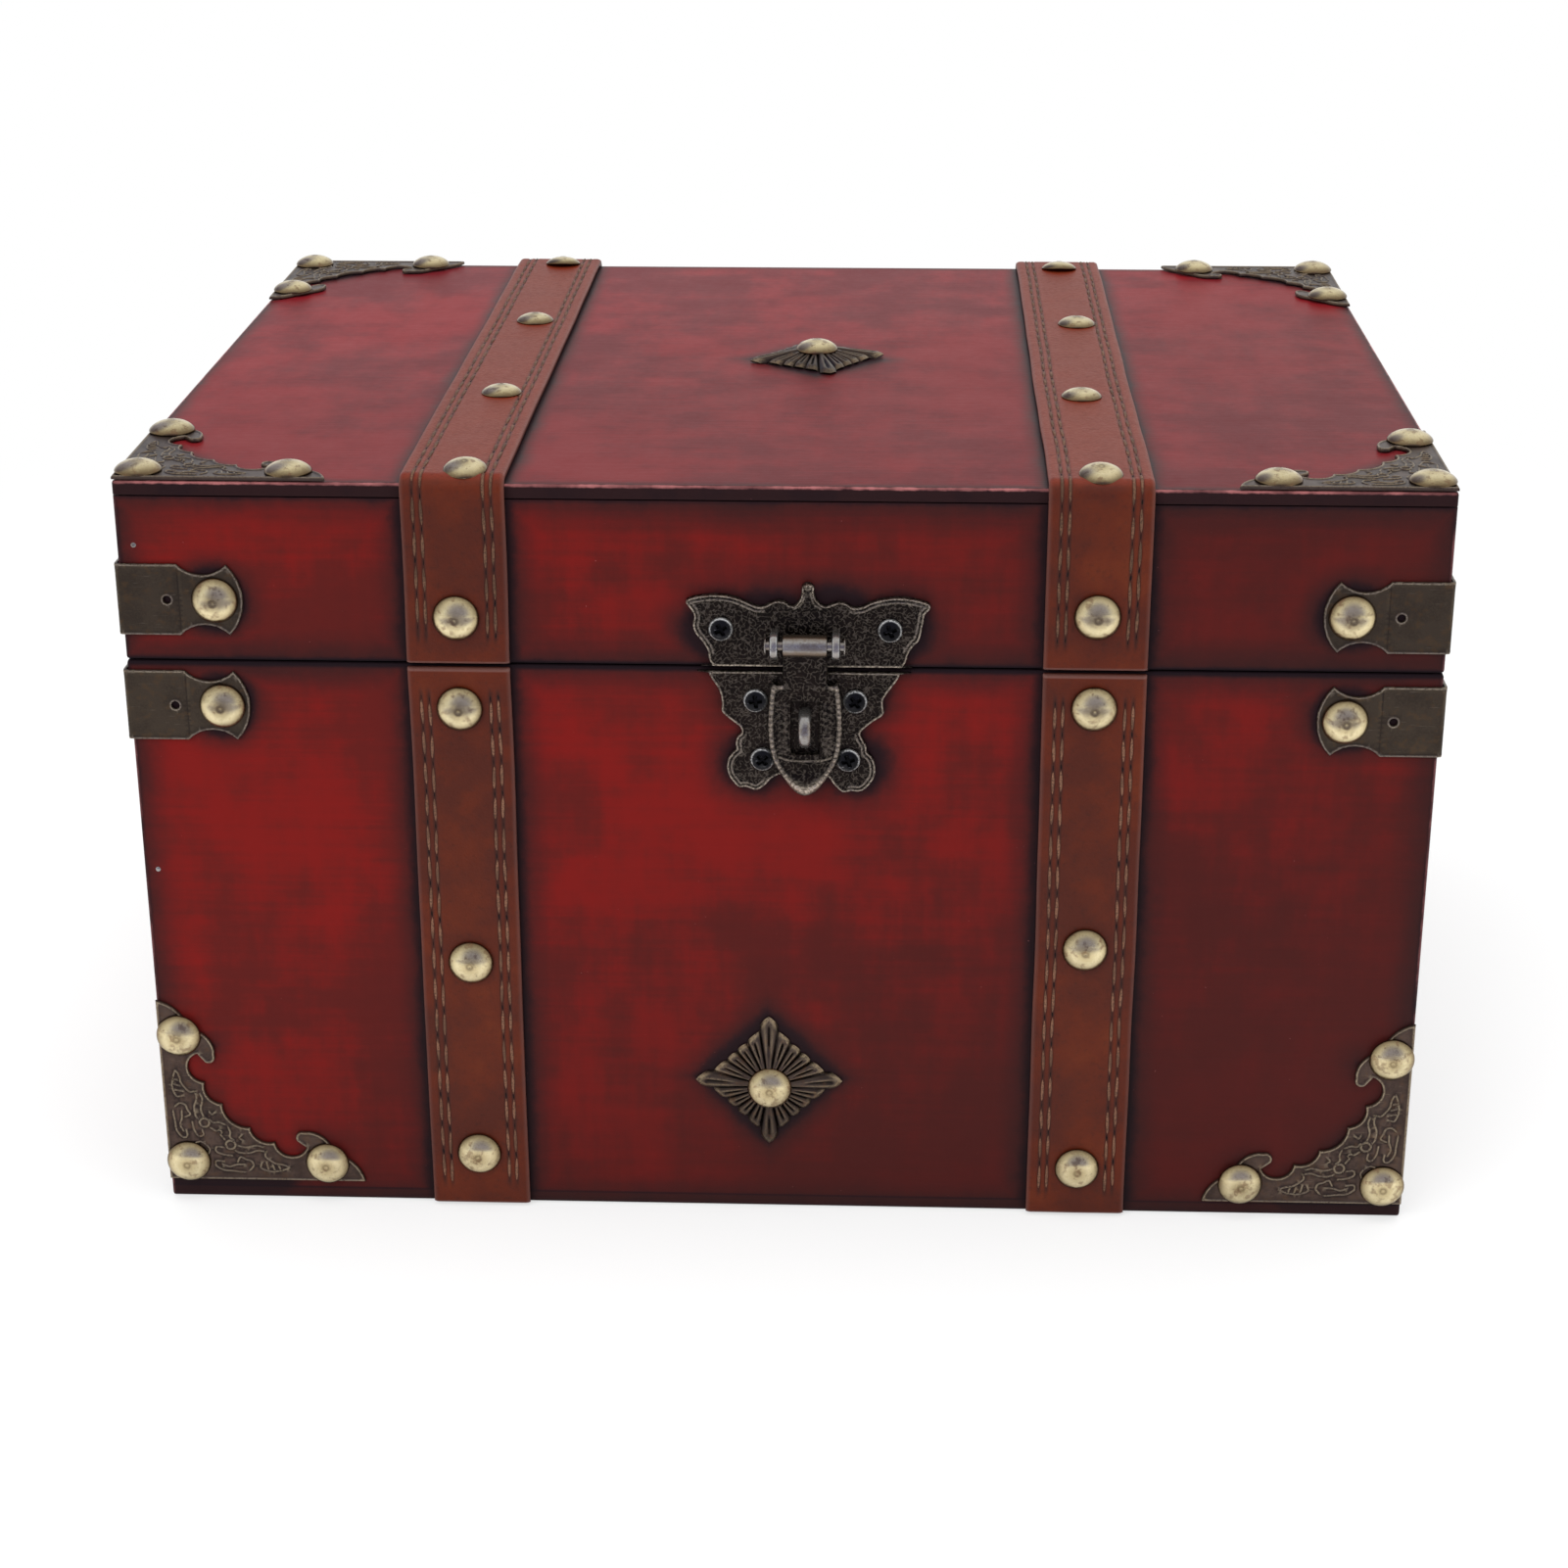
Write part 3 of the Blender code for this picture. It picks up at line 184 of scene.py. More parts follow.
class Wire:
    """An output socket that reads as a number in Python expressions."""

    def __init__(self, graph: "Graph", socket: bpy.types.NodeSocket) -> None:
        """Wrap a socket of a graph."""
        self.graph = graph
        self.socket = socket

    def __add__(self, other: "Value") -> "Wire":
        """Sum."""
        return self.graph.math("ADD", self, other)

    def __radd__(self, other: "Value") -> "Wire":
        """Sum with a number on the left."""
        return self.graph.math("ADD", other, self)

    def __sub__(self, other: "Value") -> "Wire":
        """Difference."""
        return self.graph.math("SUBTRACT", self, other)

    def __rsub__(self, other: "Value") -> "Wire":
        """Difference from a number on the left."""
        return self.graph.math("SUBTRACT", other, self)

    def __mul__(self, other: "Value") -> "Wire":
        """Product."""
        return self.graph.math("MULTIPLY", self, other)

    def __truediv__(self, other: "Value") -> "Wire":
        """Quotient."""
        return self.graph.math("DIVIDE", self, other)

    def __pow__(self, other: "Value") -> "Wire":
        """Power."""
        return self.graph.math("POWER", self, other)

    def __abs__(self) -> "Wire":
        """Size without sign."""
        return self.graph.math("ABSOLUTE", self)


Value = Union[Wire, float]
Hue = Union[Wire, Tint]


def srgb(red: int, green: int, blue: int) -> Tint:
    """Linear colour of a display colour of 0 to 255."""
    shares = (red / 255, green / 255, blue / 255)
    return tuple(s / 12.92 if s <= 0.04045 else ((s + 0.055) / 1.055) ** 2.4 for s in shares)


class Graph:
    """The nodes of one material, or of the surroundings."""

    def __init__(self, owner: Union[bpy.types.Material, bpy.types.World],
                 coordinates: str = "Object") -> None:
        """Start the nodes afresh.

        Args:
            owner: the material or world that holds them.
            coordinates: the texture coordinates that patterns follow.
        """
        owner.use_nodes = True
        self.owner = owner
        self.tree = owner.node_tree
        self.tree.nodes.clear()
        self.coordinates = self.node("ShaderNodeTexCoord", output=coordinates)

    @classmethod
    def of_material(cls, name: str) -> "Graph":
        """The empty graph of a new material."""
        return cls(bpy.data.materials.new(name))

    def node(self, kind: str, settings: dict[str, Any] | None = None,
             inputs: dict[Any, Any] | None = None, output: Union[int, str] = 0) -> Wire:
        """Add a node.

        Args:
            kind: the node's type.
            settings: properties that are set first.
            inputs: values or wires by socket name or number.
            output: the output socket to hand back.

        Returns:
            That output.
        """
        item = self.tree.nodes.new(kind)
        for name, value in (settings or {}).items():
            setattr(item, name, value)
        for name, value in (inputs or {}).items():
            if isinstance(value, Wire):
                self.tree.links.new(value.socket, item.inputs[name])
            elif isinstance(value, tuple) and item.inputs[name].type == "RGBA":
                item.inputs[name].default_value = (*value, 1)
            else:
                item.inputs[name].default_value = value
        return Wire(self, item.outputs[output])

    def math(self, operation: str, *values: Value) -> Wire:
        """Work out a Math node of some values."""
        return self.node("ShaderNodeMath", {"operation": operation}, dict(enumerate(values)))

    def least(self, *values: Value) -> Value:
        """The smallest of some values."""
        return reduce(lambda first, second: self.math("MINIMUM", first, second), values)

    def ease(self, value: Value, low: float, high: float) -> Wire:
        """Nought where a value is at low, one at high, eased between."""
        inputs = {"Value": value, "From Min": low, "From Max": high}
        return self.node("ShaderNodeMapRange", {"interpolation_type": "SMOOTHSTEP"}, inputs)

    def mix(self, share: Value, first: Hue, second: Hue) -> Wire:
        """Mix two colours by a share of the second."""
        settings = {"data_type": "RGBA", "clamp_factor": True}
        return self.node("ShaderNodeMix", settings, {0: share, 6: first, 7: second}, 2)

    def stretched(self, x: float, y: float, z: float) -> Wire:
        """The coordinates as a number of features per millimetre along each axis."""
        inputs = {0: self.coordinates, 1: (x / MM, y / MM, z / MM)}
        return self.node("ShaderNodeVectorMath", {"operation": "MULTIPLY"}, inputs)

    def axes(self) -> tuple[Wire, Wire, Wire]:
        """The object coordinates x, y and z in millimetres."""
        item = self.node("ShaderNodeSeparateXYZ", inputs={0: self.stretched(1, 1, 1)})
        return tuple(Wire(self, socket) for socket in item.socket.node.outputs)

    def noise(self, x: float, y: float, z: float, detail: float, roughness: float) -> Wire:
        """Noise about a half, by its features per millimetre, its octaves and their share."""
        return self.node("ShaderNodeTexNoise", inputs={
            "Vector": self.stretched(x, y, z), "Scale": 1.0, "Detail": detail,
            "Roughness": roughness})

    def even_noise(self, per_mm: float, detail: float, roughness: float) -> Wire:
        """Noise with as many features along each axis."""
        return self.noise(per_mm, per_mm, per_mm, detail, roughness)

    def cells(self, per_mm: float) -> Wire:
        """Distance to the nearest of scattered points, a number of them per millimetre."""
        inputs = {"Vector": self.stretched(per_mm, per_mm, per_mm), "Scale": 1.0}
        return self.node("ShaderNodeTexVoronoi", {"feature": "F1"}, inputs, "Distance")

    def painted(self, name: str) -> Wire:
        """A share that the mesh carries at its corners."""
        return self.node("ShaderNodeAttribute", {"attribute_name": name}, output="Fac")

    def surface(self, colour: Hue, roughness: Value, height: Wire, depth: float,
                **constants: float) -> bpy.types.Material:
        """Close the material with its shader.

        Args:
            colour: base colour.
            roughness: roughness.
            height: relief from nought to one.
            depth: the relief's depth in millimetres.
            **constants: plain values of the shader's own sockets.

        Returns:
            The material.
        """
        bump = self.node("ShaderNodeBump", inputs={"Distance": depth * MM, "Height": height})
        inputs = {"Base Color": colour, "Roughness": roughness, "Normal": bump, **constants}
        return self.finish(self.node("ShaderNodeBsdfPrincipled", inputs=inputs))

    def finish(self, shader: Wire, kind: str = "ShaderNodeOutputMaterial") -> Any:
        """Link a shader to the output.

        Args:
            shader: the shader.
            kind: the output node's type.

        Returns:
            The material or world.
        """
        item = self.tree.nodes.new(kind)
        self.tree.links.new(shader.socket, item.inputs["Surface"])
        return self.owner


# Finishes


class HaloShape(Enum):
    """The shape of a fitting as the dark stain and painted shade round it see it."""

    BOX = "box"
    ROUND = "round"
    DIAMOND = "diamond"


@dataclass(frozen=True)
class Halo:
    """A fitting on a face, round which the stain has gathered dark and painted shade is laid."""

    shape: HaloShape
    u: float
    v: float
    half_u: float
    half_v: float
    reach: float = 7.0
    diamond_slope: float = 0.75

    def distance(self, graph: Graph, u: Wire, v: Wire) -> Wire:
        """Distance from the fitting as a share of the halo's reach.

        Args:
            graph: the material's nodes.
            u: place across the face.
            v: place up the face.

        Returns:
            The share, below nought on the fitting itself.
        """
        across, above = abs(u - self.u), abs(v - self.v)
        if self.shape is HaloShape.BOX:
            gap = graph.math("MAXIMUM", across - self.half_u, above - self.half_v)
        elif self.shape is HaloShape.ROUND:
            gap = (across * across + above * above) ** 0.5 - self.half_u
        else:
            gap = (across + above - self.half_u) * self.diamond_slope
        return gap / self.reach


class Weather:
    """The noises that the layers of one stained board share, each about a half."""

    def __init__(self, g: Graph, lengthwise: bool) -> None:
        """Add the noises.

        Args:
            g: the material's nodes.
            lengthwise: whether the wood's grain runs along x.
        """
        along, fine = (0.02, 0.7, 0.7), (0.09, 3.0, 3.0)
        if not lengthwise:
            along, fine = (0.7, 0.02, 0.7), (3.0, 0.09, 3.0)
        self.cloud = g.noise(0.018, 0.018, 0.026, 3, 0.55)
        self.blotch = g.noise(0.075, 0.075, 0.060, 4, 0.6)
        self.speckle = g.even_noise(0.5, 3, 0.6)
        self.grain = g.noise(*along, 4, 0.6)
        self.fine = g.noise(*fine, 2, 0.5)
        self.brush = g.noise(0.035, 0.035, 0.32, 4, 0.6) + g.noise(0.32, 0.035, 0.035, 3, 0.6) - 1


@dataclass(frozen=True)
class StainedWood:
    """Red stain over a board: mottled, dark round the fittings with painted shade beside them,
    rubbed pale at its edges, and with painted shade that turns it brown towards one corner.
    """

    name: str
    side: Side
    low_z: float
    high_z: float
    halos: tuple[Halo, ...] = ()
    red: Tint = (0.163, 0.0080, 0.0068)
    deep_red: Tint = (0.098, 0.0096, 0.0082)
    # painted shade: the brown that the red turns to towards one corner
    brown_red: Tint = (0.046, 0.0100, 0.0090)
    dark: Tint = (0.024, 0.0100, 0.0100)
    black: Tint = (0.0105, 0.0062, 0.0085)
    bare: Tint = (0.420, 0.150, 0.150)
    inside: Tint = (0.150, 0.045, 0.028)
    edge_reach: float = 7.0
    black_reach: float = 3.2
    round_over: float = 0.6
    foot_line: float = 2.8
    # share and starting height of the painted corner shade
    age: float = 0.85
    age_from: float = 0.0
    ior: float = 1.14

    def build(self) -> bpy.types.Material:
        """Make the material, layer by layer.

        Returns:
            The material.
        """
        g = Graph.of_material(self.name)
        x, y, z = g.axes()
        lengthwise = self.side not in (Side.LEFT, Side.RIGHT)
        on_top = self.side is Side.TOP
        weather = Weather(g, lengthwise)
        to_x, to_y = CHEST.half_width - abs(x), CHEST.half_depth - abs(y)
        to_z = g.least(self.high_z - z, z - self.low_z)
        beside = g.least(to_x, to_y)
        if on_top:
            u, v, edge, depth = x, y, beside, g.least(beside, to_z)
        elif lengthwise:
            u, v, edge, depth = x, z, g.least(to_x, to_z), beside
        else:
            u, v, edge, depth = y, z, g.least(to_y, to_z), beside
        # painted shade: the stain turns brown towards the right and the bottom
        stain = self.aged(g, weather, x * 0.35 - (v - self.age_from) * 0.75)
        rings = [halo.distance(g, u, v) for halo in self.halos]
        # dark stain round edges and fittings, with painted contact shadow in the black strips
        # beside the fittings
        stain = self.gathered(g, weather, stain, edge, rings)
        stain = g.mix(g.ease(weather.fine, 0.60, 0.80) * 0.16, stain, self.dark)
        flecks = g.ease(g.even_noise(1.3, 2, 0.5), 0.77, 0.80)
        stain = g.mix(flecks * 0.4, stain, self.bare)
        if on_top:
            band = g.ease(z + (weather.speckle - 0.5) * 0.5, self.high_z - 0.4, self.high_z - 0.9)
            stain = g.mix(band * (0.30 + weather.blotch * 0.5), stain, self.dark)
            stain = g.mix(band * g.ease(weather.blotch, 0.45, 0.65) * 0.5, stain, self.black)
        stain = self.rubbed(g, weather, stain, beside + to_z if on_top else to_x + to_y)
        # painted shade: black along the gap between lid and body, over the dark stain of the
        # boards' edges there
        parting_shade = 1 - g.ease(abs(z - CHEST.body_height), 0.4, 1.5)
        stain = g.mix(parting_shade * 0.95, self.footed(g, weather, stain, z - self.foot_line), self.black)
        hidden = g.ease(depth, 1.5, 2.5)
        colour = g.mix(hidden, stain, g.mix(weather.grain, self.inside, self.deep_red))
        height = (weather.grain + weather.fine) * 0.3 + (weather.speckle + weather.blotch) * 0.2
        gloss = 0.27 + weather.blotch * 0.14 + weather.speckle * 0.08
        gloss = gloss + g.least(hidden + parting_shade, 1) * 0.4
        return g.surface(colour, gloss, height, 0.08, IOR=self.ior)

    def aged(self, g: Graph, weather: Weather, slope: Wire) -> Wire:
        """Mottled red, with painted shade that turns it brown towards one corner.

        Args:
            g: the material's nodes.
            weather: the board's noises.
            slope: how far a place lies towards the corner of painted shade.

        Returns:
            The colour.
        """
        cloud, blotch, brush = weather.cloud, weather.blotch, weather.brush
        tone = cloud * 0.55 + blotch * 0.45 + brush * 0.12 + (weather.grain - 0.5) * 0.2
        stain = g.mix(g.ease(tone, 0.39, 0.60), self.red, self.deep_red)
        lean = slope + (blotch - 0.5) * 50 + (cloud - 0.5) * 55 + brush * 26
        return g.mix(g.ease(lean, -84, 28) * self.age, stain, self.brown_red)

    def gathered(self, g: Graph, weather: Weather, stain: Wire, edge: Wire,
                 rings: Sequence[Wire]) -> Wire:
        """Darken the stain by the board's edges and round its fittings; close to the fittings the
        black is partly stain, partly painted contact shadow.

        Args:
            g: the material's nodes.
            weather: the board's noises.
            stain: the colour so far.
            edge: distance from the face's edges.
            rings: distances from the fittings, as shares of their halos.

        Returns:
            The colour.
        """
        blotch, speckle = weather.blotch - 0.5, weather.speckle - 0.5
        ragged = g.least(edge / self.edge_reach, *rings) + blotch * 1.3 + speckle * 0.3
        stain = g.mix((1 - g.ease(ragged, -0.15, 1.25)) * 0.88, stain, self.dark)
        black_stain_and_shade = g.least(edge / self.black_reach, *rings) + speckle * 0.25 + blotch * 0.5
        return g.mix((1 - g.ease(black_stain_and_shade, 0.0, 0.46)) * 0.82, stain, self.black)

    def rubbed(self, g: Graph, weather: Weather, stain: Wire, corner: Wire) -> Wire:
        """Rub the board's corners pale.

        Args:
            g: the material's nodes.
            weather: the board's noises.
            stain: the colour so far.
            corner: sum of the distances from the two faces that meet there.

        Returns:
            The colour.
        """
        rubbed = g.ease(g.even_noise(0.09, 3, 0.6), 0.40, 0.62)
        share = 0.3 + rubbed * 0.5 if self.side is Side.TOP else rubbed * 0.3
        ragged = corner + (weather.speckle - 0.5) * 0.5
        worn = g.ease(ragged, self.round_over * 1.2, self.round_over * 0.6)
        return g.mix(worn * share, stain, self.bare)

    def footed(self, g: Graph, weather: Weather, stain: Wire, above: Wire) -> Wire:
        """Darken the edge of the bottom board, under a black line.

        Args:
            g: the material's nodes.
            weather: the board's noises.
            stain: the colour so far.
            above: height over the line.

        Returns:
            The colour.
        """
        below = g.ease(above + (weather.blotch - 0.5) * 0.4, 0.2, -0.1)
        stain = g.mix(below * 0.55, stain, self.dark)
        return g.mix((1 - g.ease(abs(above), 0.1, 0.4)) * 0.6, stain, self.black)


@dataclass(frozen=True)
class StrapLeather:
    """Brown strap leather with a fine grain, dark in its grooves and rubbed at its edges."""

    name: str = "strap_leather_grain"
    brown: Tint = (0.090, 0.0142, 0.0046)
    red_brown: Tint = (0.064, 0.0118, 0.0058)
    orange: Tint = (0.116, 0.0208, 0.0054)
    faded: Tint = (0.150, 0.0190, 0.0065)
    dark: Tint = (0.020, 0.0090, 0.0070)
    cut: Tint = (0.170, 0.095, 0.085)
    pores_per_mm: float = 1.7

    def build(self) -> bpy.types.Material:
        """Make the material, with painted light that makes it lighter and redder where the strap
        lies on top of the lid.

        Returns:
            The material.
        """
        g = Graph.of_material(self.name)
        blotch = g.even_noise(0.07, 4, 0.6)
        pores = g.cells(self.pores_per_mm)
        wrinkle = g.even_noise(0.8, 4, 0.65)
        above_lid = g.axes()[2] - CHEST.height
        colour = g.mix(g.ease(blotch, 0.38, 0.62), self.brown, self.red_brown)
        colour = g.mix(g.ease(blotch, 0.42, 0.30) * 0.5, colour, self.orange)
        # painted light: lighter and redder where the strap lies on top of the lid
        colour = g.mix(g.ease(above_lid, 0.6, 1.9) * 0.7, colour, self.faded)
        colour = g.mix(g.ease(wrinkle, 0.52, 0.75) * 0.35, colour, self.dark)
        colour = g.mix(g.painted("groove") * 0.75, colour, self.dark)
        colour = g.mix(g.painted("wear") * 0.6, colour, self.cut)
        height = (1 - pores) * 0.35 + wrinkle * 0.65
        return g.surface(colour, 0.34 + wrinkle * 0.22, height, 0.12, IOR=1.24)


@dataclass(frozen=True)
class CastMetal:
    """Toned metal: a dark patina in the hollows, rubbed bright where the mesh says it is worn, and
    on some pieces painted shade and painted highlights carried by the same shares.
    """

    name: str
    patina: Tint
    hollow: Tint
    worn: Tint
    roughness: float
    metallic: float = 0.9
    hammer: float = 0.0
    grit: float = 0.03
    tarnish: float = 0.5
    stain: Tint = (0.10, 0.05, 0.02)
    stained: float = 0.0

    def build(self) -> bpy.types.Material:
        """Make the material; hammered metal gets a pattern of raised worms.

        Returns:
            The material.
        """
        g = Graph.of_material(self.name)
        cloud = g.even_noise(0.16, 4, 0.6)
        fine = g.even_noise(2.2, 3, 0.6)
        scratch = g.noise(0.25, 3.5, 3.5, 2, 0.5)
        toned = g.ease(cloud + (fine - 0.5) * 0.5, 0.38, 0.68) * self.tarnish
        colour = g.mix(toned, self.patina, self.hollow)
        # groove is patina in hollows and, on some pieces, painted shade; wear is rubbed wear and,
        # on some pieces, painted highlight
        colour = g.mix(g.painted("groove") * 0.85, colour, self.hollow)
        colour = g.mix(g.painted("wear") * g.ease(fine, 0.25, 0.55), colour, self.worn)
        colour = g.mix(g.ease(scratch, 0.66, 0.78) * 0.25, colour, self.worn)
        if self.stained:
            spots = g.ease(g.even_noise(0.55, 4, 0.65), 0.52, 0.66)
            colour = g.mix(spots * self.stained, colour, self.stain)
        height, depth = fine * 0.6 + scratch * 0.4, self.grit
        if self.hammer:
            worms = 1 - abs(g.even_noise(0.95, 1, 0.4) - 0.5) * 10
            lit = g.ease(worms + (fine - 0.5) * 1.4, 0.25, 0.95)
            colour = g.mix(lit * 0.13, colour, self.worn)
            height, depth = lit * 0.7 + fine * 0.3, self.hammer
        gloss = self.roughness + (cloud - 0.5) * 0.2
        return g.surface(colour, gloss, height, depth, Metallic=self.metallic)


@dataclass(frozen=True)
class WaxedThread:
    """Tan stitching thread with the twist of its strands."""

    name: str
    tint: Tint
    roughness: float = 0.6

    def build(self) -> bpy.types.Material:
        """Make the material, soiled in places.

        Returns:
            The material.
        """
        g = Graph.of_material(self.name)
        strands = g.even_noise(2.6, 2, 0.5)
        soiled = g.ease(g.even_noise(0.22, 2, 0.5), 0.42, 0.66)
        dark = tuple(channel * 0.45 for channel in self.tint)
        colour = g.mix(g.least(g.ease(strands, 0.42, 0.62) + soiled * 0.8, 1), self.tint, dark)
        return g.surface(colour, self.roughness, strands, 0.08, IOR=1.3)


Finish = Union[StainedWood, StrapLeather, CastMetal, WaxedThread]
LEATHER = StrapLeather()
BRONZE = CastMetal("antique_bronze_patina", srgb(80, 65, 58), srgb(40, 32, 31),
                   srgb(152, 138, 116), 0.40, stain=srgb(96, 70, 48), stained=0.25)
CAST_BRONZE = CastMetal("cast_bronze_patina", srgb(72, 60, 54), srgb(24, 19, 19),
                        srgb(150, 132, 106), 0.33, stain=srgb(100, 70, 48), stained=0.3)
DARK_BRONZE = CastMetal("dark_bronze_sheet", srgb(75, 65, 53), srgb(50, 43, 37),
                        srgb(150, 138, 122), 0.38, stain=srgb(98, 74, 48), stained=0.35)
HASP_BRONZE = CastMetal("hammered_hasp_bronze", srgb(36, 29, 25), srgb(13, 10, 9),
                        srgb(192, 178, 162), 0.34, hammer=0.2)
SCREW_BLACK = CastMetal("blackened_screw", srgb(32, 32, 34), srgb(9, 9, 10),
                        srgb(216, 216, 216), 0.32)
# its worn colour is also the painted highlight on the nail domes, and its hollow colour partly a
# painted reflection at their rims
STUD_BRASS = CastMetal("stud_brass_polish", srgb(196, 180, 140), srgb(84, 64, 44),
                       srgb(236, 224, 184), 0.21, metallic=1.0, grit=0.010, tarnish=0.36,
                       stain=srgb(116, 88, 66), stained=0.6)
WORN_STEEL = CastMetal("worn_pin_steel", srgb(152, 150, 148), srgb(98, 80, 62),
                       srgb(206, 208, 210), 0.24, grit=0.02, tarnish=0.6)
THREAD = WaxedThread("waxed_thread", srgb(124, 88, 68))
LID_THREAD = WaxedThread("soiled_thread", srgb(104, 74, 56))
NEEDLE_HOLE = WaxedThread("needle_hole_shadow", srgb(26, 16, 16), 0.8)


@cache
def material_of(finish: Finish) -> bpy.types.Material:
    """The material of a finish, made at its first use."""
    return finish.build()


# Meshes


ARC_STEP = math.radians(12)


def make_piece(name: str, shape: Shape, body: Body, finishes: Sequence[Finish],
               replaces: Iterable[str] = (), paint: Paint | None = None,
               finish_of: Sequence[int] | None = None, smooth: float = 40) -> None:
    """Turn points and faces into a piece that rides on a body.

    Args:
        name: the piece's name.
        shape: points in millimetres and faces.
        body: the body that it rides on.
        finishes: the finishes of the piece.
        replaces: the CAD nodes that it stands for.
        paint: shares carried by the points, by name.
        finish_of: the number of each face's finish.
        smooth: the angle in degrees below which an edge is smooth.
    """
    points, faces = shape
    mesh = bpy.data.meshes.new(name)
    mesh.from_pydata((np.asarray(points) * MM).tolist(), [], faces)
    for label, values in (paint or {}).items():
        layer = mesh.attributes.new(label, "FLOAT", "POINT")
        layer.data.foreach_set("value", np.asarray(values, np.float32))
    for finish in finishes:
        mesh.materials.append(material_of(finish))
    if finish_of is not None:
        mesh.polygons.foreach_set("material_index", np.asarray(finish_of, np.int32))
    form = bmesh.new()
    form.from_mesh(mesh)
    bmesh.ops.recalc_face_normals(form, faces=form.faces)
    form.to_mesh(mesh)
    form.free()
    mesh.shade_smooth()
    mesh.set_sharp_from_angle(angle=math.radians(smooth))
    piece = bpy.data.objects.new(name, mesh)
    bpy.context.scene.collection.objects.link(piece)
    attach(piece, body.value)
    if replaces:
        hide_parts(*replaces)
    LOG.info("%s: %d faces on %s", name, len(faces), body.value)


def ramp(value: Any, low: float, high: float) -> np.ndarray:
    """Nought where a value is at low, one at high, straight between and held beyond."""
    return np.clip((value - low) / (high - low), 0, 1)


def placed(shape: Shape, place: Matrix) -> Shape:
    """A shape carried by a frame."""
    turn = np.array(place)
    return np.asarray(shape[0]) @ turn[:3, :3].T + turn[:3, 3], shape[1]


def joined(shapes: Sequence[Shape]) -> Shape:
    """Several shapes as one.

    Args:
        shapes: the shapes.

    Returns:
        All their points and faces.
    """
    points, faces, start = [], [], 0
    for some, sides in shapes:
        points.append(np.asarray(some))
        faces += [tuple(corner + start for corner in side) for side in sides]
        start += len(some)
    return np.vstack(points), faces


def rings_shape(rings: Sequence[np.ndarray]) -> Shape:
    """Closed skin over rings of the same number of points.

    Args:
        rings: the rings; a ring of one repeated point closes an end.

    Returns:
        The shape.
    """
    count = len(rings[0])
    faces = []
    for low in range(0, (len(rings) - 1) * count, count):
        for index in range(count):
            after = (index + 1) % count
            faces.append((low + index, low + after, low + count + after, low + count + index))
    last = (len(rings) - 1) * count
    faces += [tuple(range(count))[::-1], tuple(range(last, last + count))]
    return np.vstack(rings), faces


def turned(profile: Sequence[Point], sides: int = 32, mirrored: bool = False) -> Shape:
    """A shape turned about its z axis.

    Args:
        profile: radius and height from the top's middle to the bottom's middle.
        sides: the number of sides.
        mirrored: whether the profile is the upper half of a shape alike at both ends.

    Returns:
        The shape.
    """
    angles = np.linspace(0, 2 * math.pi, sides, endpoint=False)
    wheel = np.column_stack([np.cos(angles), np.sin(angles)])
    lower = [(radius, -height) for radius, height in reversed(profile)] if mirrored else []
    return rings_shape([np.column_stack([wheel * max(radius, 0.01), np.full(sides, height)])
                        for radius, height in [*profile, *lower]])


def bowed(start: Point, end: Point, bow: float) -> list[Point]:
    """Points of an arc past its start.

    Args:
        start: where the arc leaves.
        end: where it arrives.
        bow: how far it swells right of its way, or left if negative.

    Returns:
        The points, with the end and without the start.
    """
    if bow == 0:
        return [end]
    run = (end[0] - start[0], end[1] - start[1])
    half = math.hypot(*run) / 2
    middle = ((start[0] + end[0]) / 2, (start[1] + end[1]) / 2)
    reach = 2 * math.atan(bow / half)
    steps = math.ceil(2 * abs(reach) / ARC_STEP)
    points = []
    for step in range(1, steps + 1):
        angle = reach * (2 * step / steps - 1)
        along = math.sin(angle) / math.sin(reach) / 2
        aside = (math.cos(angle) - math.cos(reach)) / math.sin(reach) / 2
        points.append((middle[0] + along * run[0] + aside * run[1],
                       middle[1] + along * run[1] - aside * run[0]))
    return points


def closed_outline(corners: Sequence[Triple]) -> list[Point]:
    """Outline through corners.

    Args:
        corners: each corner with the bow of the line that leaves it.

    Returns:
        The outline's points.
    """
    points: list[Point] = []
    for index, (x, y, bow) in enumerate(corners):
        after = corners[(index + 1) % len(corners)]
        points += bowed((x, y), after[:2], bow)
    return points


def resampled(outline: Sequence[Point], step: float) -> np.ndarray:
    """An outline with its long stretches divided, its corners kept.

    Args:
        outline: the outline's points.
        step: the longest stretch.

    Returns:
        The points.
    """
    line = [np.array(point, float) for point in outline]
    found = []
    for start, end in zip(line, line[1:] + line[:1]):
        parts = max(1, math.ceil(np.linalg.norm(end - start) / step))
        found += [start + (end - start) * part / parts for part in range(parts)]
    return np.array(found)


def curved(points: Sequence[Point], closed: bool = False, parts: int = 6) -> np.ndarray:
    """A smooth line through points.

    Args:
        points: the points.
        closed: whether the line returns to its start.
        parts: the number of stretches between two points.

    Returns:
        The line's points.
    """
    knots = [np.array(point, float) for point in points]
    count = len(knots)
    if closed:
        spans = [[knots[(i + k) % count] for k in (-1, 0, 1, 2)] for i in range(count)]
    else:
        padded = [2 * knots[0] - knots[1], *knots, 2 * knots[-1] - knots[-2]]
        spans = [padded[i:i + 4] for i in range(count - 1)]
    found = []
    for a, b, c, d in spans:
        for t in np.arange(parts) / parts:
            found.append(0.5 * (2 * b + (c - a) * t + (2 * a - 5 * b + 4 * c - d) * t * t
                                + (3 * b - a - 3 * c + d) * t ** 3))
    return np.array(found if closed else found + [knots[-1]])


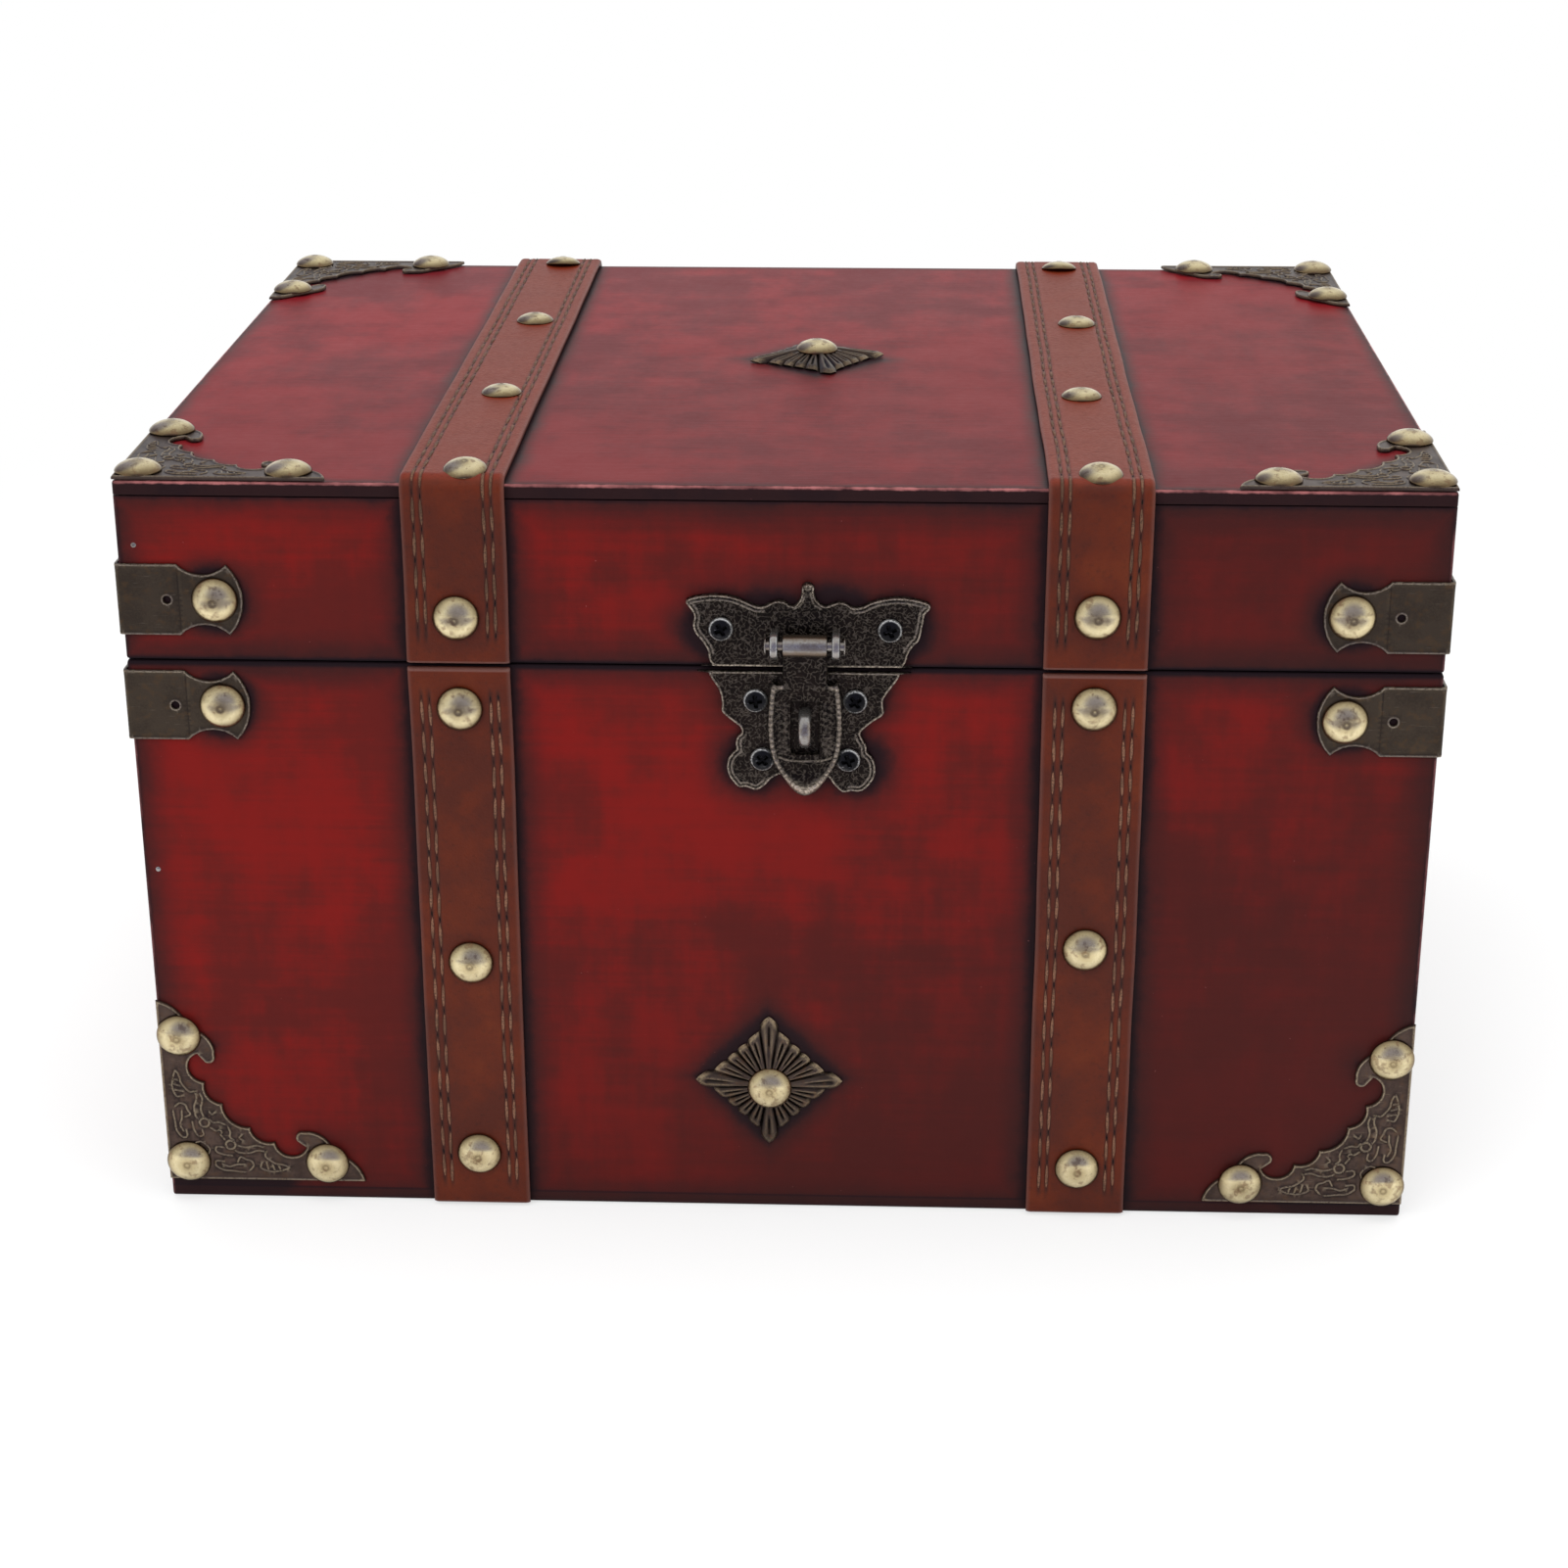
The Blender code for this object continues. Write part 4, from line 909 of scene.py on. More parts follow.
def circle(u: float, v: float, radius: float, sides: int = 20) -> np.ndarray:
    """Points of a circle."""
    angles = np.linspace(0, 2 * math.pi, sides, endpoint=False)
    return np.column_stack([u + radius * np.cos(angles), v + radius * np.sin(angles)])


def left_of(run: np.ndarray) -> np.ndarray:
    """Unit vectors left of some ways."""
    run = run / np.maximum(np.linalg.norm(run, axis=1), 1e-9)[:, None]
    return np.column_stack([-run[:, 1], run[:, 0]])


def left_of_loop(loop: np.ndarray) -> np.ndarray:
    """Unit vectors left of a closed line, at its points."""
    return left_of(np.roll(loop, -1, axis=0) - np.roll(loop, 1, axis=0))


def distance_to(points: np.ndarray, line: np.ndarray,
                closed: bool) -> tuple[np.ndarray, np.ndarray]:
    """Distance of points from a line.

    Args:
        points: the points.
        line: the line's points.
        closed: whether the line returns to its start.

    Returns:
        The distances, and how far along the line the nearest places are.
    """
    start = line if closed else line[:-1]
    end = np.roll(line, -1, axis=0) if closed else line[1:]
    run = end - start
    length = np.maximum(np.linalg.norm(run, axis=1), 1e-9)
    before = np.concatenate([[0], np.cumsum(length)[:-1]])
    gap = points[:, None, :] - start[None]
    share = np.clip((gap * run[None]).sum(2) / length ** 2, 0, 1)
    away = np.linalg.norm(gap - share[..., None] * run[None], axis=2)
    nearest = away.argmin(axis=1)
    rows = np.arange(len(points))
    return away[rows, nearest], before[nearest] + share[rows, nearest] * length[nearest]


def within(points: np.ndarray, loops: Sequence[np.ndarray]) -> np.ndarray:
    """Which points lie in a border and in none of its holes.

    Args:
        points: the points.
        loops: the border and the holes.

    Returns:
        Whether each point does.
    """
    x, y = points[:, :1], points[:, 1:]
    crossed = np.zeros(len(points), int)
    for loop in loops:
        (x1, y1), (x2, y2) = loop.T, np.roll(loop, -1, axis=0).T
        with np.errstate(divide="ignore", invalid="ignore"):
            at = (x2 - x1) * (y - y1) / (y2 - y1) + x1
        crossed += (((y1 > y) != (y2 > y)) & (x < at)).sum(1)
    return crossed % 2 == 1


def slab(outline: Sequence[Point], thickness: float, soft: float) -> Shape:
    """A plate of an outline, its middle plane at z zero.

    Args:
        outline: the outline's points.
        thickness: the plate's thickness.
        soft: the radius of its edges.

    Returns:
        The shape.
    """
    line = np.array(outline, float)
    area = np.sum(line[:, 0] * np.roll(line[:, 1], -1) - np.roll(line[:, 0], -1) * line[:, 1])
    inward = left_of_loop(line) * (1 if area > 0 else -1)
    half, rings = thickness / 2, []
    for inset, z in ((soft, -half), (0.3 * soft, 0.3 * soft - half), (0, soft - half),
                     (0, half - soft), (0.3 * soft, half - 0.3 * soft), (soft, half)):
        rings.append(np.column_stack([line + inward * inset, np.full(len(line), z)]))
    return rings_shape(rings)


def sideways(middle: Triple) -> Matrix:
    """Frame that lays a shape turned about z along the chest's x axis."""
    return Matrix.Translation(middle) @ Matrix.Rotation(math.pi / 2, 4, "Y")


def upright_section(x: float) -> Matrix:
    """Frame that reads an outline as y and z, and its thickness as x."""
    turn = Matrix.Rotation(math.pi / 2, 4, "Z") @ Matrix.Rotation(math.pi / 2, 4, "X")
    return Matrix.Translation((x, 0, 0)) @ turn


# Reliefs


@dataclass(frozen=True)
class Ridge:
    """A raised line of a relief, or a sunk one if its height is negative."""

    line: np.ndarray
    width: float
    height: float
    closed: bool = False
    pitch: float = 0.0
    shine: float = 0.5

    def rise(self, points: np.ndarray) -> tuple[np.ndarray, np.ndarray, np.ndarray]:
        """Form of the ridge at points.

        Args:
            points: the points.

        Returns:
            The height, the share of the ridge, and the share of the groove at its foot.
        """
        away, along = distance_to(points, self.line, self.closed)
        share = np.clip(1 - (away / self.width) ** 2, 0, 1) ** 1.5
        if self.pitch:
            share = share * (0.25 + 0.75 * np.cos(math.pi * along / self.pitch) ** 2)
        skirt = np.clip(1 - np.maximum(away - self.width, 0) / self.width, 0, 1)
        return share * self.height, share, skirt * (share < 0.15)

    def guides(self) -> np.ndarray:
        """Points that hold the ridge's shape in the mesh."""
        across = left_of(np.gradient(self.line, axis=0)) * self.width
        return np.vstack([self.line + across * offset for offset in (-1.0, -0.5, 0.0, 0.5, 1.0)])


@dataclass(frozen=True)
class Relief:
    """A thin cast or pressed plate: an outline with a raised rim, ridges and holes."""

    outline: Sequence[Point]
    thickness: float
    rim: float = 0.2
    rim_width: float = 0.45
    rim_inset: float = 0.3
    edge_drop: float = 0.15
    edge_wear: float = 0.9
    step: float = 0.9
    cell: float = 0.16
    ridges: Sequence[Ridge] = ()
    holes: Sequence[np.ndarray] = ()
    extra: Callable[[np.ndarray], np.ndarray] | None = None

    def build(self) -> tuple[Shape, Paint]:
        """Mesh the plate.

        Returns:
            The shape, its underside at z zero, and its shares of wear and groove.
        """
        border = resampled(self.outline, self.step * 0.7)
        loops = [border] + [np.asarray(hole) for hole in self.holes]
        flat = np.vstack(loops + [self.filling(loops)])
        edges, start = [], 0
        for loop in loops:
            count = len(loop)
            edges += [(start + i, start + (i + 1) % count) for i in range(count)]
            start += count
        found, _, sides, *_ = delaunay_2d_cdt(
            [Vector(point) for point in flat], edges, [], 0, 1e-6)
        flat = np.array([tuple(point) for point in found])
        sides = np.array([side for side in sides if len(side) == 3])
        sides = sides[within(flat[sides].mean(1), loops)]
        used, sides = np.unique(sides, return_inverse=True)
        return self.raised(flat[used], sides.reshape(-1, 3), loops)

    def filling(self, loops: Sequence[np.ndarray]) -> np.ndarray:
        """Points between the plate's edges.

        Args:
            loops: the border and the holes.

        Returns:
            A grid, rows that follow each edge, and the guides of the ridges.
        """
        low, high = loops[0].min(0), loops[0].max(0)
        grid = np.stack(np.meshgrid(
            np.arange(low[0], high[0], self.step), np.arange(low[1], high[1], self.step)), -1)
        inner = [grid.reshape(-1, 2)]
        for loop in loops:
            across = left_of_loop(loop)
            for inset in (0.5 * self.rim_inset, self.rim_inset, self.rim_inset + self.rim_width):
                inner += [loop + across * inset, loop - across * inset]
        loose = np.vstack(inner + [ridge.guides() for ridge in self.ridges])
        kept = within(loose, loops)
        for loop in loops:
            kept &= distance_to(loose, loop, True)[0] > 0.4 * self.rim_inset
        loose = loose[kept]
        cells = np.round(loose / self.cell).astype(int)
        return loose[np.unique(cells, axis=0, return_index=True)[1]]

    def raised(self, flat: np.ndarray, sides: np.ndarray,
               loops: Sequence[np.ndarray]) -> tuple[Shape, Paint]:
        """Raise a flat mesh to its relief and close it underneath.

        Args:
            flat: the mesh's points.
            sides: its triangles.
            loops: the border and the holes.

        Returns:
            The shape and its shares of wear and groove.
        """
        away = np.min([distance_to(flat, loop, True)[0] for loop in loops], axis=0)
        crest = np.clip(1 - ((away - self.rim_inset) / self.rim_width) ** 2, 0, 1)
        height = self.thickness + self.rim * crest
        height -= self.edge_drop * np.clip(1 - away / (0.5 * self.rim_inset), 0, 1)
        wear = crest * self.edge_wear
        groove = np.clip(1 - np.abs(away - self.rim_inset - 1.3 * self.rim_width) / 0.5, 0, 1) * 0.6
        for ridge in self.ridges:
            rise, share, skirt = ridge.rise(flat)
            height += rise
            if ridge.height > 0:
                wear = np.maximum(wear, share * ridge.shine)
                share = skirt
            groove = np.maximum(groove, share)
        if self.extra is not None:
            height += self.extra(flat)
        seen: dict[tuple[int, int], tuple[int, int]] = {}
        for a, b, c in sides.tolist():
            for pair in ((a, b), (b, c), (c, a)):
                key = (min(pair), max(pair))
                if seen.pop(key, None) is None:
                    seen[key] = pair
        count = len(flat)
        faces = [tuple(side) for side in sides.tolist()]
        faces += [(c + count, b + count, a + count) for a, b, c in sides.tolist()]
        faces += [(b, a, a + count, b + count) for a, b in seen.values()]
        under = np.zeros(count)
        paint = {"wear": np.concatenate([wear * (groove < 0.99), under]),
                 "groove": np.concatenate([np.clip(groove, 0, 1), under])}
        top, bottom = np.column_stack([flat, height]), np.column_stack([flat, under])
        return (np.vstack([top, bottom]), faces), paint


# Nails


@dataclass(frozen=True)
class DomedNail:
    """A domed brass nail, spun with a small pip in its middle."""

    radius: float = 5.0
    rise: float = 2.5
    rings: int = 13
    sides: int = 44
    pip: float = 0.55
    pip_depth: float = 0.10
    fullness: float = 2.25
    bottom: float = -0.02

    def shape(self) -> Shape:
        """The nail's head.

        Returns:
            The shape, its underside at z zero.
        """
        profile = []
        for ring in range(self.rings + 1):
            radius = self.radius * math.sin(math.pi / 2 * ring / self.rings)
            share = radius / self.radius
            height = self.rise * (1 - share ** self.fullness) ** 0.72 * 0.9 + self.rise * 0.1
            if radius < 2.2 * self.pip:
                dent = math.cos(math.pi / 2 * radius / (2.2 * self.pip))
                height -= self.pip_depth * math.cos(4 * math.pi * radius / 4.4 / self.pip) * dent
            profile.append((radius, height))
        profile += [(self.radius, 0.06), (self.radius * 0.97, self.bottom), (0, self.bottom)]
        return turned(profile, self.sides)

    def drive(self, name: str, place: Matrix, body: Body, replaces: Iterable[str] = ()) -> None:
        """Make a nail, turned by an angle that follows from its name.

        Args:
            name: the piece's name.
            place: the frame of its seat.
            body: the body that it holds to.
            replaces: the CAD nodes that it stands for.
        """
        shape = self.shape()
        spin = Matrix.Rotation(math.radians(sum(map(ord, name)) % 360), 4, "Z")
        reach = np.linalg.norm(shape[0][:, :2], axis=1) / self.radius
        pip = np.clip(1 - np.abs(reach - 0.11) / 0.06, 0, 1) * 0.9
        # painted highlight: the bright ring round the dome; the darkening towards the rim is partly
        # patina, partly painted reflection
        paint = {"wear": np.clip(1 - np.abs(reach - 0.55) / 0.3, 0, 1) * 0.6,
                 "groove": np.maximum(pip, ramp(reach, 0.70, 0.98) ** 1.5)}
        make_piece(name, placed(shape, place @ spin), body, [STUD_BRASS], replaces,
                   paint, smooth=60)


# Straps


@dataclass(frozen=True)
class Strap:
    """A leather strap laid along a path in the y and z plane, stitched along both edges."""

    node: str
    body: Body
    centre: float
    path: np.ndarray
    normals: np.ndarray
    thickness: float
    thread: WaxedThread
    seed: int
    half: float = 11.0
    rows: tuple[float, float] = (8.25, 6.55)
    groove: float = 0.52
    groove_depth: float = 0.26
    bevel: float = 1.1
    pitch: float = 7.35
    stitch: float = 5.5
    sway: float = 0.25

    def stations(self) -> np.ndarray:
        """Distance along the path of each of its points."""
        return np.concatenate(
            [[0], np.cumsum(np.linalg.norm(np.diff(self.path, axis=0), axis=1))])

    def swayed(self, along: float) -> float:
        """How far the strap strays sideways at a distance along it."""
        return noise.noise(Vector((along * 0.035, self.centre, 3.1))) * self.sway

    def across(self) -> np.ndarray:
        """Places across the strap that hold its grooves and edges.

        Returns:
            The places, from its left edge to its right.
        """
        half = [0, 1.5, 3, 4.5, 5.4]
        for row in self.rows[::-1]:
            half += [row - 0.62, row - 0.36, row, row + 0.36, row + 0.62]
        half += [9.4, 10.0, 10.4, 10.72, 10.92]
        return np.array([-value for value in half[:0:-1]] + half)

    def leather(self) -> tuple[Shape, Paint]:
        """The strap's own shape.

        Returns:
            The shape and its shares of wear and groove.
        """
        along, across = self.stations(), self.across()
        aside = np.abs(across)
        away = np.min([np.abs(aside - row) for row in self.rows], axis=0)
        edge = ramp(aside, 10.2, 10.9) * 0.55
        rings, wear, groove = [], [], []
        for s in along:
            end = min(s, along[-1] - s)
            dip = np.clip(1 - (away / self.groove) ** 2, 0, 1) * ramp(end, 4, 6)
            height = self.thickness - 0.55 * ramp(aside, self.half - self.bevel, self.half) ** 2.2
            height -= max(0.0, 1 - end / 0.7) ** 2 * 0.6 + self.groove_depth * dip
            height += 0.05 * np.array(
                [noise.noise(Vector((s * 0.12, u * 0.2, self.centre))) for u in across])
            ring = np.vstack([[[-self.half, 0.9]], np.column_stack([across, height]),
                              [[self.half, 0.9], [self.half - 0.25, 0], [0.25 - self.half, 0]]])
            rings.append(self.ring(np.full(len(ring), s), *ring.T))
            wear += [[0.3, *(edge + (end < 0.5) * 0.8), 0.3, 0, 0]]
            groove += [[0.5, *dip, 0.5, 0, 0]]
        paint = {"wear": np.clip(np.ravel(wear), 0, 1), "groove": np.ravel(groove)}
        return rings_shape(rings), paint

    def ring(self, along: Sequence[float], aside: Sequence[float],
             heights: Sequence[float]) -> np.ndarray:
        """Points of the strap.

        Args:
            along: distances along it.
            aside: distances right of its middle.
            heights: distances above its back.

        Returns:
            The points.
        """
        stations = self.stations()
        y, z, ny, nz = (np.interp(along, stations, row) for row in
                        (*self.path.T, *self.normals.T))
        sway = np.array([self.swayed(s) for s in along])
        return np.column_stack([self.centre + aside + sway, y + ny * heights, z + nz * heights])

    def stitching(self) -> tuple[Shape, list[int]]:
        """Threads lying in the grooves and the needle holes between them.

        Returns:
            The shape and the number of each face's finish.
        """
        draw = random.Random(self.seed)
        total = self.stations()[-1]
        shapes, kinds = [], []
        for row in (-self.rows[0], -self.rows[1], self.rows[1], self.rows[0]):
            s = 6.5 + draw.uniform(0, 3)
            while s + self.stitch < total - 5:
                length = self.stitch + draw.uniform(-0.5, 0.5)
                slant = draw.uniform(-0.12, 0.12)
                parts = [self.one_stitch(s, length, row, slant), self.one_hole(s - 0.8, row, draw)]
                for kind, part in enumerate(parts):
                    shapes.append(part)
                    kinds += [kind] * len(part[1])
                s += self.pitch + draw.uniform(-0.15, 0.15)
        return joined(shapes), kinds

    def one_stitch(self, s: float, length: float, row: float, slant: float) -> Shape:
        """A rounded run of thread that dips into the leather at both ends.

        Args:
            s: where it starts along the strap.
            length: its length.
            row: the middle of its groove.
            slant: how far it leans out of the groove's middle.

        Returns:
            The shape.
        """
        floor = self.thickness - self.groove_depth
        steps, sides = 7, 7
        angle = 2 * math.pi * np.arange(sides) / sides
        rings = []
        for share in np.arange(steps + 1) / steps:
            swell = math.sin(math.pi * share) ** 0.45 if 0 < share < 1 else 0.18
            rise = floor + 0.16 * swell - 0.10 * (1 - swell)
            rings.append(self.ring(np.full(sides, s + length * share),
                                   row + slant * (2 * share - 1) + 0.34 * swell * np.cos(angle),
                                   rise + 0.24 * swell * np.sin(angle)))
        return rings_shape(rings)

    def one_hole(self, s: float, row: float, draw: random.Random) -> Shape:
        """A needle hole: a small slanted dark lens in the groove, a painted shadow of the hole.

        Args:
            s: its place along the strap.
            row: the middle of its groove.
            draw: the draws that vary the slant.

        Returns:
            The shape.
        """
        floor = self.thickness - self.groove_depth
        lean = 0.5 + draw.uniform(-0.15, 0.15)
        angle = 2 * math.pi * np.arange(9) / 9
        rings = []
        for size, height in ((0.04, 0.05), (0.7, 0.045), (1, 0.0), (1, -0.25)):
            u, v = 0.8 * size * np.cos(angle), 0.38 * size * np.sin(angle)
            rings.append(self.ring(s + u * math.cos(lean) - v * math.sin(lean),
                                   row + u * math.sin(lean) + v * math.cos(lean),
                                   np.full(9, floor + height)))
        return rings_shape(rings)

    def lay(self) -> None:
        """Make the strap and its stitching."""
        shape, paint = self.leather()
        make_piece(self.node + "_leather", shape, self.body, [LEATHER],
                   [self.node], paint, smooth=50)
        shape, kinds = self.stitching()
        make_piece(self.node + "_stitching", shape, self.body,
                   [self.thread, NEEDLE_HOLE], finish_of=kinds, smooth=60)


@dataclass(frozen=True)
class Straps:
    """Both straps: each folded over the lid and running down the front and the back."""

    thickness: float = 1.8
    inset: float = 0.4
    bend: float = 1.8
    bend_turn: float = 7.5
    step: float = 0.9
    end_steps: Triple = (0.2, 0.45, 0.7)
    nail: DomedNail = DomedNail()
    top_nail: DomedNail = DomedNail(radius=4.6, rise=2.0)
    nail_out: float = 2.4
    top_nail_out: float = 2.15
    bend_tilt: float = math.radians(11)

    def straight(self, start: Point, end: Point) -> np.ndarray:
        """Points of a straight run, closer at its ends.

        Args:
            start: where it starts.
            end: where it ends.

        Returns:
            The points.
        """
        length = math.dist(start, end)
        ends = np.array(self.end_steps) / length
        even = np.linspace(0, 1, math.ceil(length / self.step) + 1)
        shares = np.unique(np.concatenate([even, ends, 1 - ends]))
        return np.array(start) + shares[:, None] * (np.array(end) - np.array(start))

    def over_lid(self) -> tuple[np.ndarray, np.ndarray]:
        """Path of the strap's back face over the lid.

        Returns:
            The path and its normals.
        """
        y, z = CHEST.half_depth + FIT_GAP, CHEST.height + FIT_GAP
        low, flip = CHEST.lid_base + self.inset, np.array((-1, 1))
        turns = np.radians(np.arange(self.bend_turn, 90, self.bend_turn))
        arc = np.column_stack([1 - np.cos(turns), np.sin(turns)]) * self.bend
        tilt = np.column_stack([-np.cos(turns), np.sin(turns)])
        front = self.straight((-y, low), (-y, z - self.bend))
        top = self.straight((self.bend - y, z), (y - self.bend, z))
        back = self.straight((y, z - self.bend), (y, low))
        path = np.vstack([front, arc + (-y, z - self.bend), top,
                          (arc * flip)[::-1] + (y, z - self.bend), back])
        normals = np.vstack([
            np.tile((-1.0, 0.0), (len(front), 1)), tilt, np.tile((0.0, 1.0), (len(top), 1)),
            (tilt * flip)[::-1], np.tile((1.0, 0.0), (len(back), 1))])
        return path, normals

    def on_body(self, way: int) -> tuple[np.ndarray, np.ndarray]:
        """Path of the strap's back face down the body.

        Args:
            way: -1 on the front, 1 on the back.

        Returns:
            The path and its normals.
        """
        y = way * (CHEST.half_depth + FIT_GAP)
        path = self.straight((y, CHEST.body_height - self.inset), (y, self.inset))
        return path, np.tile((float(way), 0.0), (len(path), 1))

    def build(self) -> None:
        """Lay the straps and drive their nails."""
        for number, hand in enumerate(Hand):
            centre = middle_of("lid_strap_" + hand.word)[0]
            runs = (("lid_strap_", Body.LID, LID_THREAD, self.over_lid()),
                    ("body_strap_front_", Body.CHEST, THREAD, self.on_body(-1)),
                    ("body_strap_back_", Body.CHEST, THREAD, self.on_body(1)))
            for turn, (node, body, thread, (path, normals)) in enumerate(runs):
                Strap(node + hand.word, body, centre, path, normals, self.thickness, thread,
                      3 * number + turn).lay()
            for row in (1, 2, 3):
                self.drive_pair(f"body_stud_{hand.word}_{row}", f"back_stud_{hand.word}_{row}",
                                centre, Body.CHEST)
            self.drive_pair("lid_front_stud_" + hand.word, "lid_back_stud_" + hand.word, centre,
                            Body.LID)
            for row, tilt in enumerate((self.bend_tilt, 0.0, 0.0, -self.bend_tilt), start=1):
                node = f"lid_top_stud_{hand.word}_{row}"
                seat = CHEST.seat(node, Side.TOP, self.top_nail_out)
                self.top_nail.drive(node + "_dome", seat @ Matrix.Rotation(tilt, 4, "X"),
                                    Body.LID, [node])

    def drive_pair(self, node: str, back_name: str, centre: float, body: Body) -> None:
        """Drive a nail on the front, and one behind it on the back.

        Args:
            node: the node on the front that the first stands for.
            back_name: the name of the second.
            centre: the strap's middle along x.
            body: the body that they hold to.
        """
        seat = CHEST.seat(node, Side.FRONT, self.nail_out)
        back = CHEST.place(Side.BACK, -centre, seat.translation[2], self.nail_out)
        self.nail.drive(node + "_dome", seat, body, [node])
        self.nail.drive(back_name + "_dome", back, body)


# Corner plates


@dataclass(frozen=True)
class CornerPlates:
    """Scalloped corner plates with pressed vines, on the lid's top and low on the front."""

    arm: float = 45.0
    thickness: float = 0.6
    near: float = 4.7
    far: float = 36.5
    nail_lift: float = 0.12
    nail: DomedNail = DomedNail(rise=2.4)
    shares: tuple[Triple, ...] = (
        (1, 0, 0.018), (0.905, 0.133, 0), (0.827, 0.209, 0.022), (0.7, 0.275, 0.022),
        (0.662, 0.225, 0), (0.709, 0.187, -0.065), (0.549, 0.215, -0.036), (0.427, 0.295, -0.042))
    vines: tuple[tuple[Point, ...], ...] = (
        ((7.3, 22.5), (6.1, 22.3), (5.0, 23.4), (4.2, 24.7), (4.0, 26.0), (3.3, 27.6),
         (2.6, 26.2), (2.2, 24.0), (2.4, 22.4), (3.1, 21.1), (4.2, 21.3)),
        ((2.6, 25.6), (3.7, 25.2)), ((2.5, 24.2), (3.9, 23.8)), ((2.7, 22.8), (4.3, 22.5)),
        ((7.3, 22.5), (7.5, 20.6), (6.8, 18.5), (7.0, 16.2), (7.7, 15.3)),
        ((8.4, 21.9), (8.8, 20.4), (8.3, 17.9), (8.8, 15.9)),
        ((10.1, 17.4), (10.7, 16.6), (11.4, 17.1)),
        ((2.5, 18.6), (3.6, 19.4), (4.8, 19.0), (5.2, 17.8), (5.8, 16.6), (4.7, 15.9)),
        ((1.9, 17.2), (2.2, 14.5), (2.4, 12.5), (3.5, 10.8), (4.7, 10.9), (4.6, 12.6)),
        ((3.9, 17.4), (3.8, 15.6), (3.3, 13.9), (3.9, 12.3)),
        ((6.1, 14.7), (6.4, 12.6), (7.3, 11.0), (8.4, 11.3), (8.3, 12.5)),
        ((10.3, 13.2), (11.5, 12.4), (12.4, 12.9), (12.7, 11.9)),
        ((10.0, 15.4), (10.9, 14.5), (12.2, 14.6), (13.4, 14.2)),
        ((6.6, 9.3), (7.7, 9.6), (8.6, 9.1)))
    eye: Point = (8.9, 14.5)
    eye_radius: float = 1.1

    def outline(self) -> list[Point]:
        """Outline of a plate whose arms run right and up from its corner.

        Returns:
            The outline's points.
        """
        arm = [(x * self.arm, y * self.arm, bow * self.arm) for x, y, bow in self.shares]
        bows_before = [0] + [bow for *_, bow in arm[:-1]]
        other = [(y, x, bow) for (x, y, _), bow in zip(arm, bows_before)]
        return closed_outline([(0, 0, 0)] + arm + other[::-1])

    def ridges(self) -> list[Ridge]:
        """The vines of one arm and their mirror image on the other.

        Returns:
            The ridges.
        """
        half = [Ridge(curved(line, parts=4), 0.30, 0.24, shine=0.8) for line in self.vines]
        half.append(Ridge(circle(*self.eye, self.eye_radius, 16), 0.36, 0.28, True, shine=0.8))
        return half + [replace(ridge, line=ridge.line[:, ::-1]) for ridge in half]

    def build(self) -> None:
        """Make the six plates and their nails."""
        relief = Relief(self.outline(), self.thickness, rim=0.2, rim_width=0.34, rim_inset=0.3,
                        step=1.0, ridges=self.ridges())
        shape, paint = relief.build()
        for hand in Hand:
            for end, up in (("front", 1), ("back", -1)):
                self.fix(f"top_corner_plate_{end}_{hand.word}", Side.TOP, (hand.value, up),
                         Body.LID, shape, paint)
            self.fix(f"front_corner_plate_{hand.word}", Side.FRONT, (hand.value, 1),
                     Body.CHEST, shape, paint)

    def fix(self, node: str, side: Side, way: tuple[int, int], body: Body, shape: Shape,
            paint: Paint) -> None:
        """Fix one plate in its corner, with three nails.

        Args:
            node: the node that it stands for.
            side: the side of the chest.
            way: the way in from the corner, right and up.
            body: the body that it rides on.
            shape: the plate with its corner at the origin.
            paint: its shares of wear and groove.
        """
        low, high = box_mm(node)
        across, rise = way
        x = (low if across > 0 else high)[0]
        y = (low if rise > 0 else high)[1 if side is Side.TOP else 2]
        place = CHEST.place(side, x, y, FIT_GAP)
        flipped = placed(shape, place @ Matrix.Diagonal((across, rise, 1, 1)))
        make_piece(node + "_relief", flipped, body, [BRONZE], [node], paint)
        spots = ((self.near, self.near), (self.far, self.near), (self.near, self.far))
        for number, (u, v) in enumerate(spots, start=1):
            offset = Matrix.Translation((u * across, v * rise, self.thickness + self.nail_lift))
            self.nail.drive(f"{node}_nail_{number}", place @ offset, body)


# Brackets


